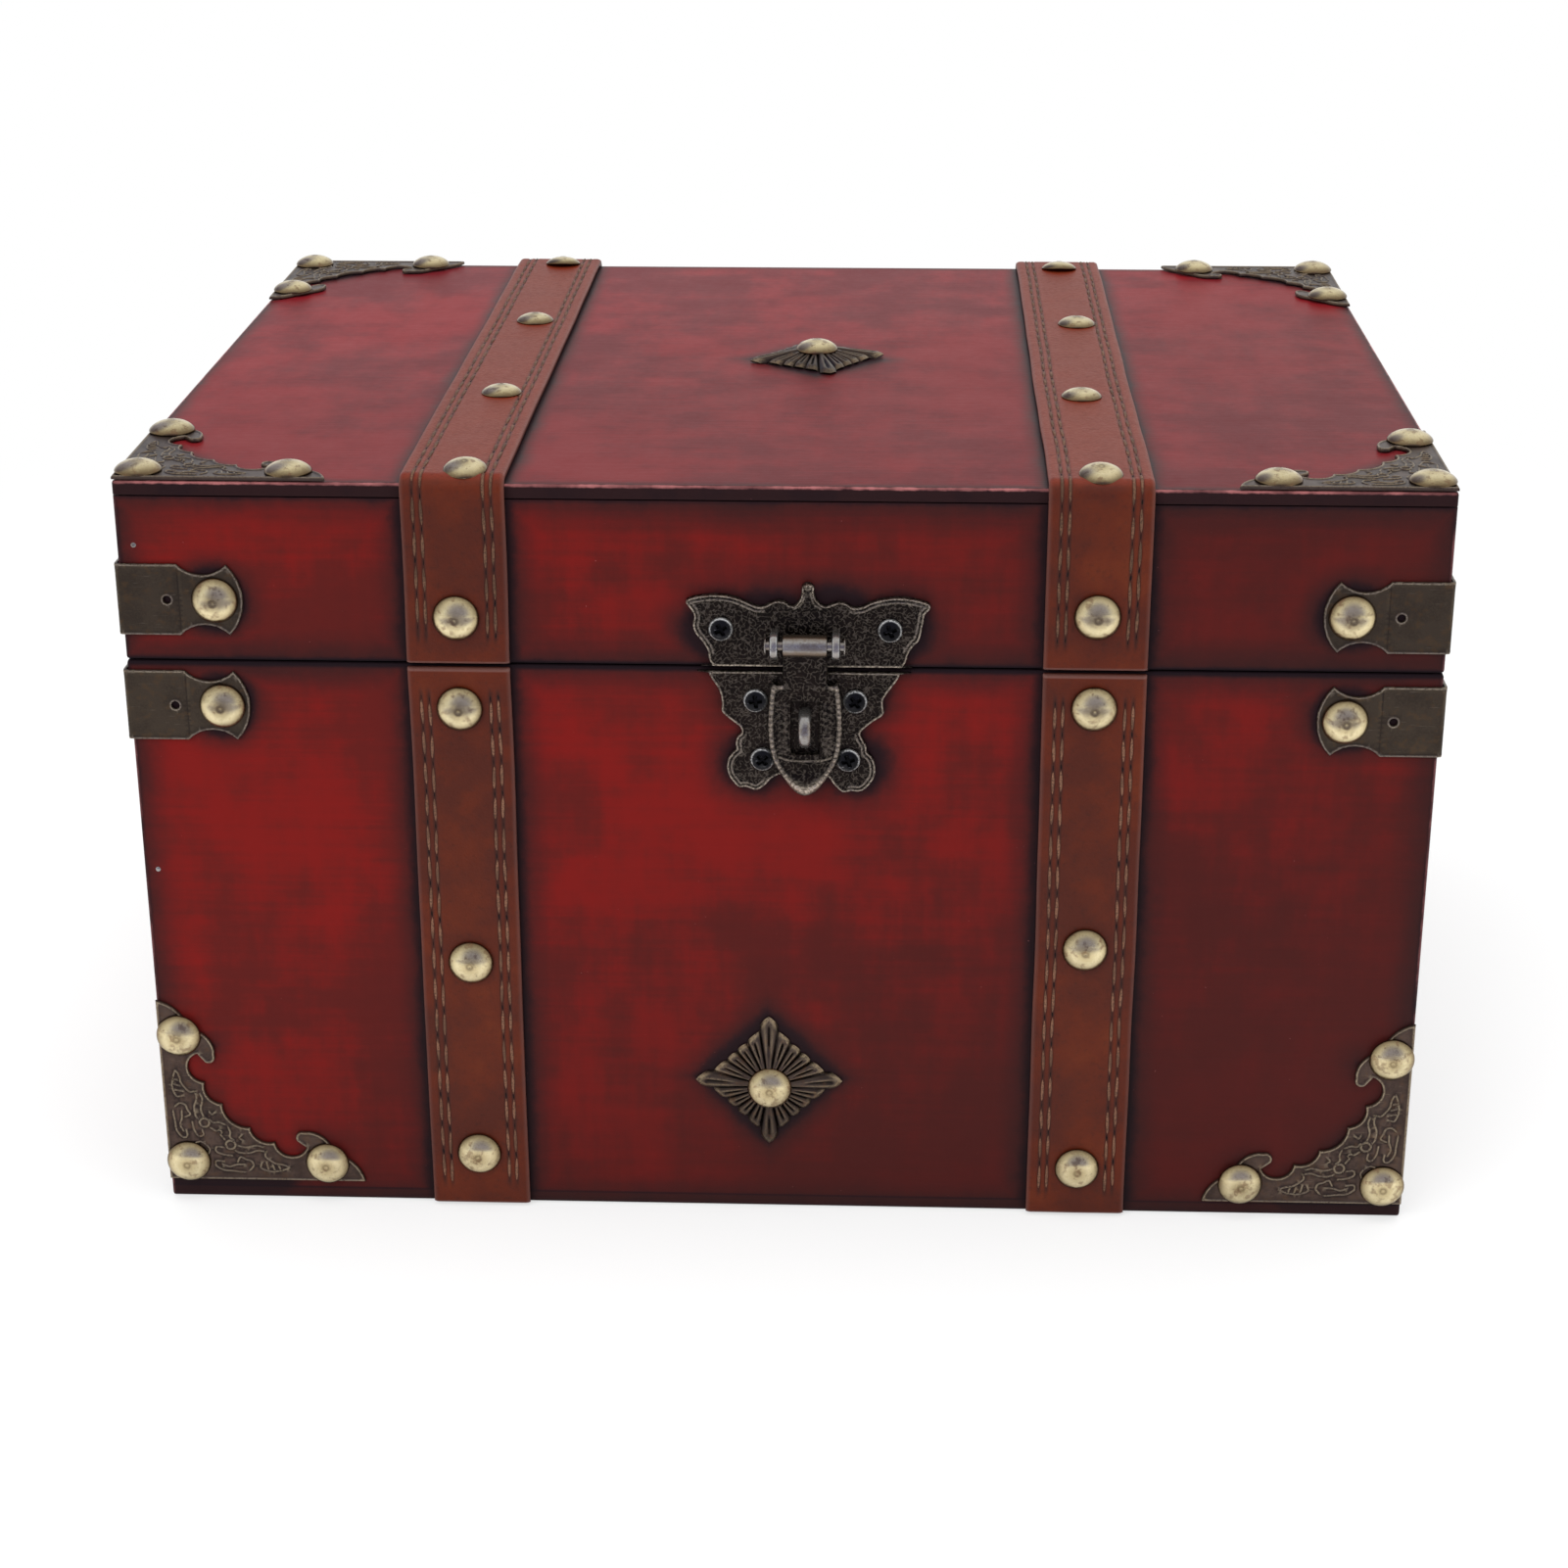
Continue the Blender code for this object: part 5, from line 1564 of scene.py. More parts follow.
@dataclass(frozen=True)
class Brackets:
    """Fish-tailed brackets folded round the front corners."""

    length: float = 26.2
    height: float = 15.8
    thickness: float = 0.5
    nail_reach: float = 20.2
    nail_lift: float = 0.05
    hole_reach: float = 10.0
    hole: float = 0.85
    score_reach: float = 12.6
    score_half: float = 6.6
    bend_half: float = 7.4
    nail: DomedNail = DomedNail()
    shares: tuple[Triple, ...] = (
        (0.473, -1, -0.29), (0.878, -0.99, 0.405), (0.878, 0.99, -0.29), (0.473, 1, 0))

    @property
    def fold(self) -> float:
        """Length of the bend round the chest's corner."""
        return math.pi / 2 * (FIT_GAP + self.thickness / 2)

    def outline(self) -> list[Point]:
        """Outline of the bracket laid flat, its bend between nought and minus the fold.

        Returns:
            The outline's points.
        """
        half = self.height / 2
        tail = closed_outline([(x * self.length, y * half, bow * half)
                               for x, y, bow in self.shares])
        front = tail[-1:] + tail[:-1]
        return front + [(-self.fold - x, y) for x, y in front[::-1]]

    def folded(self, points: np.ndarray, inward: int, height: float) -> np.ndarray:
        """Points of the flat bracket wrapped round a corner.

        Args:
            points: the flat bracket's points.
            inward: the way in from the corner along x.
            height: the height of the bracket's middle.

        Returns:
            The points on the chest.
        """
        edge = -inward * CHEST.half_width
        along, rise, out = points[:, 0], points[:, 1], points[:, 2] + FIT_GAP
        turn = np.clip(-along / self.fold, 0, 1) * math.pi / 2
        x = edge + inward * (np.maximum(along, 0) - out * np.sin(turn))
        y = -CHEST.half_depth + np.maximum(-along - self.fold, 0) - out * np.cos(turn)
        return np.column_stack([x, y, height + rise])

    def relief(self) -> Relief:
        """The bracket laid flat, scored across each leg and with a spare hole in it.

        Returns:
            The relief.
        """
        score = np.column_stack([np.full(12, self.score_reach),
                                 np.linspace(-self.score_half, self.score_half, 12)])
        bend = np.array([[-self.fold * share, v] for share in (0, 0.25, 0.5, 0.75, 1)
                         for v in np.linspace(-self.bend_half, self.bend_half, 16)])
        scores = [score, score * (-1, 1) - (self.fold, 0)]
        holes = [circle(self.hole_reach, 0, self.hole, 16),
                 circle(-self.fold - self.hole_reach, 0, self.hole, 16)]
        return Relief(
            self.outline(), self.thickness, rim=0.1, rim_width=0.3, rim_inset=0.26, step=1.1,
            ridges=[Ridge(line, 0.3, -0.12) for line in scores] + [Ridge(bend, 0.05, 0.0)],
            holes=holes)

    def build(self) -> None:
        """Make the four brackets and their nails."""
        (points, faces), paint = self.relief().build()
        out = FIT_GAP + self.thickness + self.nail_lift
        for hand in Hand:
            inward = hand.value
            for part, body in (("lid", Body.LID), ("body", Body.CHEST)):
                node = f"{part}_bracket_{hand.word}"
                height = middle_of(node)[2]
                make_piece(node + "_folded", (self.folded(points, inward, height), faces), body,
                           [DARK_BRONZE], [node], paint)
                front = CHEST.place(
                    Side.FRONT, inward * (self.nail_reach - CHEST.half_width), height, out)
                flank = CHEST.place(
                    Side(hand.word), inward * (CHEST.half_depth - self.nail_reach), height, out)
                self.nail.drive(node + "_front_nail", front, body)
                self.nail.drive(node + "_side_nail", flank, body)


# Rosettes


@dataclass(frozen=True)
class Rosettes:
    """Cast star rosettes of fluted petals, a nail in the middle of each."""

    tip: float = 16.4
    side: float = 15.0
    squash: float = 0.965
    notch: float = 0.65
    petals: int = 20
    edge: float = 0.8
    rise: float = 2.4
    flute: float = 0.62
    slit: float = 0.5
    samples: int = 400
    stud_seat: float = 2.2
    lid_turn: float = math.radians(13)
    nail: DomedNail = DomedNail()

    def shape(self) -> tuple[Shape, Paint]:
        """A rosette.

        Returns:
            The shape, its back at z zero, and its shares of wear and groove.
        """
        angle = np.linspace(0, 2 * math.pi, self.samples, endpoint=False)
        valley = 1 - np.abs(np.cos(self.petals * angle / 2))
        # painted shade: the lower half of the rosette is darker and less worn
        lower_half_shade = np.clip(-np.sin(angle), 0, 1)
        middle = np.abs(np.mod(self.petals * angle / 2 / math.pi + 0.5, 1) - 0.5)
        step = 2 * math.pi / self.petals
        star = -self.notch * valley ** 1.5
        for share, turn in ((0.72, angle), (0.28, np.round(angle / step) * step)):
            star += share * self.side / (np.abs(np.cos(turn)) + np.abs(np.sin(turn)))
            star += share * (self.tip - self.side) * np.maximum(np.cos(4 * turn), 0) ** 3
        wheel = np.column_stack([np.cos(angle), self.squash * np.sin(angle)])
        rings, wear, groove = [], [], []
        for spread in (0.02, 0.2, 0.3, 0.36, 0.42, 0.48, 0.54, 0.6, 0.66, 0.72, 0.78, 0.84, 0.88,
                       0.92, 0.95, 0.975, 1.0):
            fade = ramp(spread, 0.22, 0.34)
            slit_run = ramp(spread, 0.50, 0.56) * ramp(spread, 0.90, 0.85)
            cut = np.exp(-(middle / 0.085) ** 2) * slit_run
            level = self.edge + self.rise * (1 - spread) ** 0.9 - self.slit * cut
            level -= self.flute * valley ** 2.2 * fade + 0.5 * ramp(spread, 0.9, 1.0) ** 2
            rings.append(np.column_stack([wheel * (star * spread)[:, None], level]))
            beside = np.exp(-((middle - 0.2) / 0.07) ** 2) * fade * (0.2 + 0.35 * slit_run)
            rim = ramp(spread, 0.90, 0.95) * 0.75
            wear.append(np.clip((beside + rim * (1 - valley ** 2)) * (1 - 0.6 * lower_half_shade), 0, 1))
            groove.append(np.clip(valley ** 2.4 * fade * (1 - 0.5 * rim) + 0.9 * cut
                                  + 0.3 * lower_half_shade, 0, 1))
        rings.append(np.column_stack([wheel * (star * 0.99)[:, None], np.zeros(self.samples)]))
        wear.append(np.zeros(self.samples))
        groove.append(np.ones(self.samples))
        return rings_shape(rings), {"wear": np.concatenate(wear), "groove": np.concatenate(groove)}

    def build(self) -> None:
        """Make both rosettes."""
        shape, paint = self.shape()
        spots = (("front_rosette", Side.FRONT, Body.CHEST, 0.0, (0.3, -0.5), (0.2, -0.9)),
                 ("lid_rosette", Side.TOP, Body.LID, self.lid_turn, (0, 0), (0, 0)))
        for node, side, body, turn, drift, nail_drift in spots:
            middle = CHEST.seat(node, side, FIT_GAP) @ Matrix.Translation((*drift, 0))
            place = middle @ Matrix.Rotation(turn, 4, "Z")
            make_piece(node + "_petals", placed(shape, place), body, [CAST_BRONZE],
                       [node], paint)
            seat = middle @ Matrix.Translation((*nail_drift, self.stud_seat))
            self.nail.drive(node + "_nail", seat, body)


# Hasp


@dataclass(frozen=True)
class CrossScrew:
    """A blackened round-head screw with a cross recess."""

    radius: float = 2.6
    rise: float = 1.2
    foot: float = 0.25
    arm: float = 1.45
    arm_width: float = 0.36
    depth: float = 0.75

    def shape(self) -> tuple[Shape, Paint]:
        """The screw's head.

        Returns:
            The shape, its underside at z zero, and its shares of wear and groove.
        """
        relief = Relief(circle(0, 0, self.radius, 40).tolist(), self.foot, rim=0.0, rim_width=0.3,
                        rim_inset=0.2, edge_drop=0.1, step=0.24, extra=self.height)
        (points, faces), paint = relief.build()
        top = points[:len(points) // 2, :2]
        reach = np.linalg.norm(top, axis=1)
        # a pale ring is painted round the edge of the head
        paint["wear"][:len(top)] = np.clip((reach - self.radius + 0.42) / 0.2, 0, 0.85)
        paint["groove"][:len(top)] = self.cross(top)
        return (points, faces), paint

    def cross(self, points: np.ndarray) -> np.ndarray:
        """Share of the recess at points.

        Args:
            points: the points.

        Returns:
            One in the recess and nought outside it.
        """
        u, v = np.abs(points[:, 0]), np.abs(points[:, 1])
        bars = [np.clip((self.arm_width - a) / 0.12 + 0.5, 0, 1)
                * np.clip((self.arm - b) / 0.3, 0, 1) for a, b in ((u, v), (v, u))]
        return np.maximum(*bars)

    def height(self, points: np.ndarray) -> np.ndarray:
        """Dome of the head less its recess."""
        dome = np.sqrt(np.clip(1 - (np.linalg.norm(points, axis=1) / self.radius) ** 2.4, 0, 1))
        return (self.rise - self.foot) * dome - self.depth * self.cross(points)

    def drive(self, node: str, out: float, body: Body, turn: float) -> None:
        """Make a screw in the place of a CAD node.

        Args:
            node: the node.
            out: how far out from the wood the head sits.
            body: the body that it rides on.
            turn: how far its cross is turned.
        """
        shape, paint = self.shape()
        place = CHEST.seat(node, Side.FRONT, out) @ Matrix.Rotation(turn, 4, "Z")
        make_piece(node + "_head", placed(shape, place), body, [SCREW_BLACK], [node],
                   paint, smooth=50)


@dataclass(frozen=True)
class Hasp:
    """The butterfly hasp: two pairs of wings, the pin, the swinging tongue and the staple."""

    thickness: float = 1.2
    edge_inset: float = 0.4
    pin_height: float = 5.7
    barrel: float = 2.4
    barrel_length: float = 9.4
    clearance: float = 0.4
    ear: float = 2.95
    ear_gap: float = 1.0
    ear_thickness: float = 1.7
    ear_soft: float = 0.45
    head: float = 2.0
    head_gap: float = 0.85
    head_length: float = 0.5
    rivet: float = 1.1
    tongue_thickness: float = 1.4
    shoulder: float = 8.7
    curl_drop: float = 28.5
    curl_radius: float = 5.0
    slot: Triple = (6.0, -12.9, -24.8)
    rope_inset: float = 0.62
    rope_pitch: float = 1.25
    marks: int = 8
    mark_step: float = 1.45
    staple_width: float = 2.7
    staple_height: float = 8.4
    staple_reach: float = 6.0
    staple_bar: float = 1.9
    staple_soft: float = 0.85
    line_inset: float = 1.1
    line_from: float = 9.0
    beating: float = 0.07
    upper_wings: tuple[Point, ...] = (
        (19.6, 0), (20.6, 0.3), (21.4, 1.6), (21.8, 3.2), (22.9, 5.0), (23.9, 6.0), (24.5, 8.0),
        (24.9, 10.4), (25.2, 12.0), (26.1, 12.9), (26.3, 13.8), (25.6, 14.5), (23.1, 15.2),
        (19.6, 15.6), (16.1, 15.2), (13.6, 14.4), (11.8, 13.5), (9.9, 13.4), (8.9, 14.1),
        (7.4, 14.5), (5.9, 14.2), (4.4, 13.6), (3.3, 14.0), (2.2, 15.2), (1.8, 16.6),
        (1.9, 17.5), (1.4, 18.3), (0.5, 18.6), (-0.4, 18.3), (-0.8, 17.5), (-0.8, 16.6),
        (-1.2, 15.0), (-2.2, 13.7), (-3.2, 13.7), (-4.4, 14.5), (-5.9, 14.7), (-7.4, 14.2),
        (-8.7, 13.5), (-10.4, 13.5), (-12.9, 14.6), (-15.4, 15.5), (-18.2, 15.9), (-20.9, 15.8),
        (-23.7, 15.3), (-25.0, 14.7), (-25.1, 13.8), (-24.1, 12.5), (-23.5, 11.0), (-23.8, 9.0),
        (-23.2, 7.2), (-21.8, 5.4), (-20.7, 3.5), (-20.5, 1.8), (-19.8, 0.3), (-19.1, 0))
    lower_wings: tuple[Point, ...] = (
        (4.6, -23.7), (5.8, -25.2), (6.8, -26.4), (8.1, -27.4), (9.8, -27.1), (11.6, -27.2),
        (12.9, -26.5), (13.9, -25.4), (14.8, -23.9), (15.1, -22.2), (14.8, -20.2), (13.9, -18.7),
        (13.2, -18.0), (13.1, -16.7), (12.2, -15.0), (11.8, -13.7), (12.8, -12.5), (14.6, -11.0),
        (16.1, -10.0), (16.8, -9.0), (16.6, -7.7), (16.6, -6.2), (17.4, -4.7), (18.6, -3.0),
        (19.7, -1.4), (20.0, -0.4), (19.3, 0), (-19.9, 0), (-20.5, -0.4), (-20.1, -1.6),
        (-18.9, -3.3), (-18.1, -5.2), (-17.8, -7.2), (-17.9, -8.9), (-17.1, -10.0), (-15.2, -11.6),
        (-13.9, -12.7), (-13.7, -13.9), (-14.6, -14.8), (-15.0, -16.4), (-14.8, -17.6),
        (-15.6, -18.4), (-16.5, -19.7), (-16.9, -21.7), (-16.5, -23.7), (-15.4, -25.4),
        (-14.2, -26.6), (-12.8, -26.4), (-10.9, -27.1), (-9.6, -26.7), (-8.4, -25.7),
        (-7.3, -24.4), (-5.2, -23.3), (0, -21.6))
    tongue_side: tuple[Point, ...] = (
        (0.5, -34.0), (2.2, -33.1), (3.3, -32.0), (4.4, -30.7), (5.4, -29.2), (6.5, -27.2),
        (7.3, -24.8), (7.8, -21.8), (7.95, -18.3), (7.8, -14.4), (7.45, -10.8), (7.0, -8.7),
        (5.9, -9.2))

    @property
    def centre(self) -> float:
        """The hasp's middle along x."""
        return middle_of("hasp_tongue")[0]

    @property
    def plate(self) -> float:
        """The outer face of the wings along y."""
        return -CHEST.half_depth - FIT_GAP - self.thickness

    @property
    def axis(self) -> Triple:
        """The middle of the pin."""
        y = self.plate - self.clearance - self.barrel
        return (self.centre, y, CHEST.lid_base + self.edge_inset + self.pin_height)

    def inner_line(self, outline: np.ndarray, low: float, high: float) -> list[Ridge]:
        """A second raised line inside the edge of a pair of wings.

        Args:
            outline: the outline's points.
            low: the lowest height that it reaches.
            high: the highest height that it reaches.

        Returns:
            A ridge on each side that has one.
        """
        line = outline + left_of_loop(outline) * self.line_inset
        found = []
        for way in (-1, 1):
            part = line[(line[:, 0] * way > self.line_from) & (line[:, 1] > low)
                        & (line[:, 1] < high)]
            if len(part) > 3:
                found.append(Ridge(part, 0.3, 0.14))
        return found

    def wings(self, node: str, traced: Sequence[Point], level: float, body: Body,
              extra: Sequence[Ridge], rows: Point) -> None:
        """Make one pair of wings.

        Args:
            node: the node that they stand for.
            traced: the outline, about the hasp's middle and their straight edge.
            level: the height of that edge on the chest.
            body: the body that they ride on.
            extra: ridges of their own.
            rows: the lowest and highest height of the inner line.
        """
        outline = curved(traced, True, 3).tolist()
        relief = Relief(
            outline, self.thickness, rim=0.24, rim_width=0.26, rim_inset=0.3, edge_drop=0.3,
            step=0.8, ridges=[*self.inner_line(resampled(outline, 0.6), *rows), *extra],
            extra=self.dents)
        shape, paint = relief.build()
        if body is Body.LID:
            u, v = shape[0][:, 0], shape[0][:, 1]
            shade = np.exp(-(u / 7) ** 2 - ((v - 8) / 4.5) ** 2)
            paint["groove"] = np.maximum(paint["groove"], shade)
            paint["wear"] = paint["wear"] * (1 - shade)
        place = CHEST.place(Side.FRONT, self.centre, level, FIT_GAP)
        make_piece(node + "_wings", placed(shape, place), body, [HASP_BRONZE], [node],
                   paint)

    def dents(self, points: np.ndarray) -> np.ndarray:
        """Uneven beating of the cast plates."""
        return self.beating * np.array(
            [noise.noise(Vector((u * 0.9, v * 0.9, 5.3))) for u, v in points])

    def build(self) -> None:
        """Make the whole hasp."""
        finial = [Ridge(circle(0.5, 17.6, 0.5, 12), 0.45, 0.5, True),
                  Ridge(np.array([[-0.7, 16.5], [1.7, 16.5]]), 0.3, 0.3),
                  Ridge(curved([(-2.4, 12.8), (-0.9, 13.9), (-0.1, 16.0)]), 0.3, 0.25),
                  Ridge(curved([(3.3, 12.9), (1.9, 13.9), (1.1, 16.0)]), 0.3, 0.25)]
        self.wings("hasp_lid_plate", self.upper_wings, CHEST.lid_base + self.edge_inset, Body.LID,
                   finial, (3.0, 15.5))
        self.wings("hasp_catch_plate", self.lower_wings, CHEST.body_height - self.edge_inset,
                   Body.CHEST, [], (-27.5, -14.0))
        self.ears()
        self.pin()
        self.tongue()
        self.staple()
        screw, out = CrossScrew(), 2 * FIT_GAP + self.thickness
        for part, body, turn in (
                ("lid_left", Body.LID, 0.5), ("lid_right", Body.LID, 0.35),
                ("upper_left", Body.CHEST, 0.12), ("upper_right", Body.CHEST, 0.6),
                ("lower_left", Body.CHEST, 0.75), ("lower_right", Body.CHEST, 0.3)):
            screw.drive("hasp_screw_" + part, out, body, turn)

    def ears(self) -> None:
        """Make the ears that stand on the upper wings."""
        x, y, z = self.axis
        root = self.plate + self.thickness / 2
        corners = [(y, z - self.ear, 0), (root, z - self.ear, 0), (root, z + self.ear, 0),
                   (y, z + self.ear, self.ear)]
        ear = slab(resampled(closed_outline(corners), 0.7), self.ear_thickness, self.ear_soft)
        aside = self.barrel_length / 2 + self.ear_gap + self.ear_thickness / 2
        points, faces = joined([placed(ear, upright_section(x + aside * way)) for way in (-1, 1)])
        edge = np.abs(np.abs(points[:, 0] - x) - aside) / (self.ear_thickness / 2)
        # painted shade: the ears are fully dark behind the pin and darker along their edges, with
        # painted highlight towards their flat faces
        make_piece("hasp_ears", (points, faces), Body.LID, [WORN_STEEL],
                   paint={"groove": np.where(points[:, 1] > y + 0.5, 1.0, 1 - edge),
                          "wear": edge * 0.5})

    def pin(self) -> None:
        """Make the pin with its two heads."""
        half = self.barrel_length / 2 + self.ear_gap + self.ear_thickness + self.head_gap
        end, soft = half + self.head_length, self.head_length / 2
        points, faces = turned(
            [(0, end), (self.head * 0.45, end - 0.03), (self.head - soft, end - 0.12),
             (self.head - 0.1, end - soft), (self.head, end - soft * 1.5), (self.head, half),
             (self.rivet, half)], mirrored=True)
        heads = np.abs(points[:, 2]) > half - 0.05
        kinds = [int(heads[list(face)].all()) for face in faces]
        # painted shade: the shaft between the heads is painted fully dark; the heads keep some
        # patina
        make_piece("hasp_pin_rivet", placed((points, faces), sideways(self.axis)), Body.LID,
                   [HASP_BRONZE, WORN_STEEL], ["hasp_pin"],
                   {"groove": np.where(heads, 0.4, 1.0)}, kinds)

    def tongue_relief(self) -> tuple[Relief, np.ndarray]:
        """The tongue laid flat below its pin: neck, roped shield, slot and marks beside it.

        Returns:
            The relief and its outline's points.
        """
        neck = self.barrel_length / 2
        half = curved(self.tongue_side, parts=3).tolist()
        half += [(neck + 0.1, -9.0), (neck, -8.6), (neck, 0)]
        outline = half + [(-u, v) for u, v in reversed(half)]
        line = resampled(outline, 0.5)
        inner = line + left_of_loop(line) * self.rope_inset
        width, top, bottom = self.slot
        hole = resampled([(-width / 2, bottom), (width / 2, bottom), (width / 2, top),
                          (-width / 2, top)], 0.6)
        ridges = []
        for way in (-1, 1):
            part = inner[(inner[:, 0] * way > 1.0) & (inner[:, 1] < -self.shoulder - 0.8)]
            ridges.append(Ridge(part, 0.62, 0.46, pitch=self.rope_pitch, shine=0.95))
            for number in range(self.marks):
                v = top - 0.8 - self.mark_step * number
                mark = np.array([[3.9 * way, v], [5.6 * way, v - 0.9]])
                ridges.append(Ridge(mark, 0.3, 0.14, shine=0.16))
        under = [(-6.0, -25.3), (-3.6, -26.2), (0, -26.4), (3.6, -26.2), (6.0, -25.3)]
        ridges.append(Ridge(curved(under), 0.36, 0.32))
        relief = Relief(outline, self.tongue_thickness, rim=0.0, rim_width=0.3, rim_inset=0.3,
                        edge_drop=0.3, edge_wear=0.0, step=0.75, ridges=ridges, holes=[hole],
                        extra=self.dents)
        return relief, line

    def tongue(self) -> None:
        """Make the tongue: the barrel and the flat plate hung from it, its lip curled."""
        relief, line = self.tongue_relief()
        (flat, faces), paint = relief.build()
        edge = distance_to(flat[:, :2], line, True)[0]
        lipped = (np.clip((-flat[:, 1] - self.curl_drop - 0.5) / 2.5, 0, 1)
                  * np.clip(1.7 - edge / 0.9, 0, 1) * (flat[:, 2] > 0.5))
        end = self.barrel_length / 2
        barrel = turned([(0, end), (self.barrel - 0.4, end), (self.barrel - 0.1, end - 0.12),
                         (self.barrel, end - 0.4)], 36, mirrored=True)
        roll, sides = placed(barrel, sideways(self.axis))
        # painted shade: the barrel darkens where its surface turns up or down, away from a bright
        # band facing the front
        rise = np.degrees(np.arctan2(roll[:, 2] - self.axis[2], self.axis[1] - roll[:, 1]))
        barrel_shade = ramp(np.abs(rise - 18), 20, 42)
        paint = {"groove": np.concatenate([paint["groove"] * (1 - lipped), barrel_shade]),
                 "wear": np.concatenate([np.maximum(paint["wear"], lipped),
                                         np.zeros(len(roll))])}
        make_piece("hasp_tongue_shield", joined([(self.curl(flat), faces), (roll, sides)]),
                   Body.HASP, [HASP_BRONZE, WORN_STEEL], ["hasp_tongue"], paint,
                   [0] * len(faces) + [1] * len(sides))

    def curl(self, points: np.ndarray) -> np.ndarray:
        """Points of the flat tongue hung from the barrel, its lip curled outwards.

        Args:
            points: the flat tongue's points.

        Returns:
            The points on the chest.
        """
        x, y, z = self.axis
        turn = np.maximum(-points[:, 1] - self.curl_drop, 0) / self.curl_radius
        bend_y = y + self.barrel - self.tongue_thickness / 2 - self.curl_radius
        radius = self.curl_radius + self.tongue_thickness / 2 - points[:, 2]
        flat_z = np.maximum(points[:, 1], -self.curl_drop)
        return np.column_stack([x + points[:, 0], bend_y + radius * np.cos(turn),
                                z + flat_z - radius * np.sin(turn)])

    def staple(self) -> None:
        """Make the staple that stands through the slot."""
        x, _, z = self.axis
        middle = z + (self.slot[1] + self.slot[2]) / 2
        root = self.plate + self.thickness / 2
        outer, inner = self.staple_height / 2, self.staple_height / 2 - self.staple_bar
        bend = self.plate - self.staple_reach + outer
        corners = [(root, middle + outer, 0), (bend, middle + outer, outer),
                   (bend, middle - outer, 0), (root, middle - outer, 0),
                   (root, middle - inner, 0), (bend, middle - inner, -inner),
                   (bend, middle + inner, 0), (root, middle + inner, 0)]
        shape = slab(closed_outline(corners), self.staple_width, self.staple_soft)
        make_piece("hasp_staple", placed(shape, upright_section(x)), Body.CHEST,
                   [WORN_STEEL], smooth=75)


# Hinges


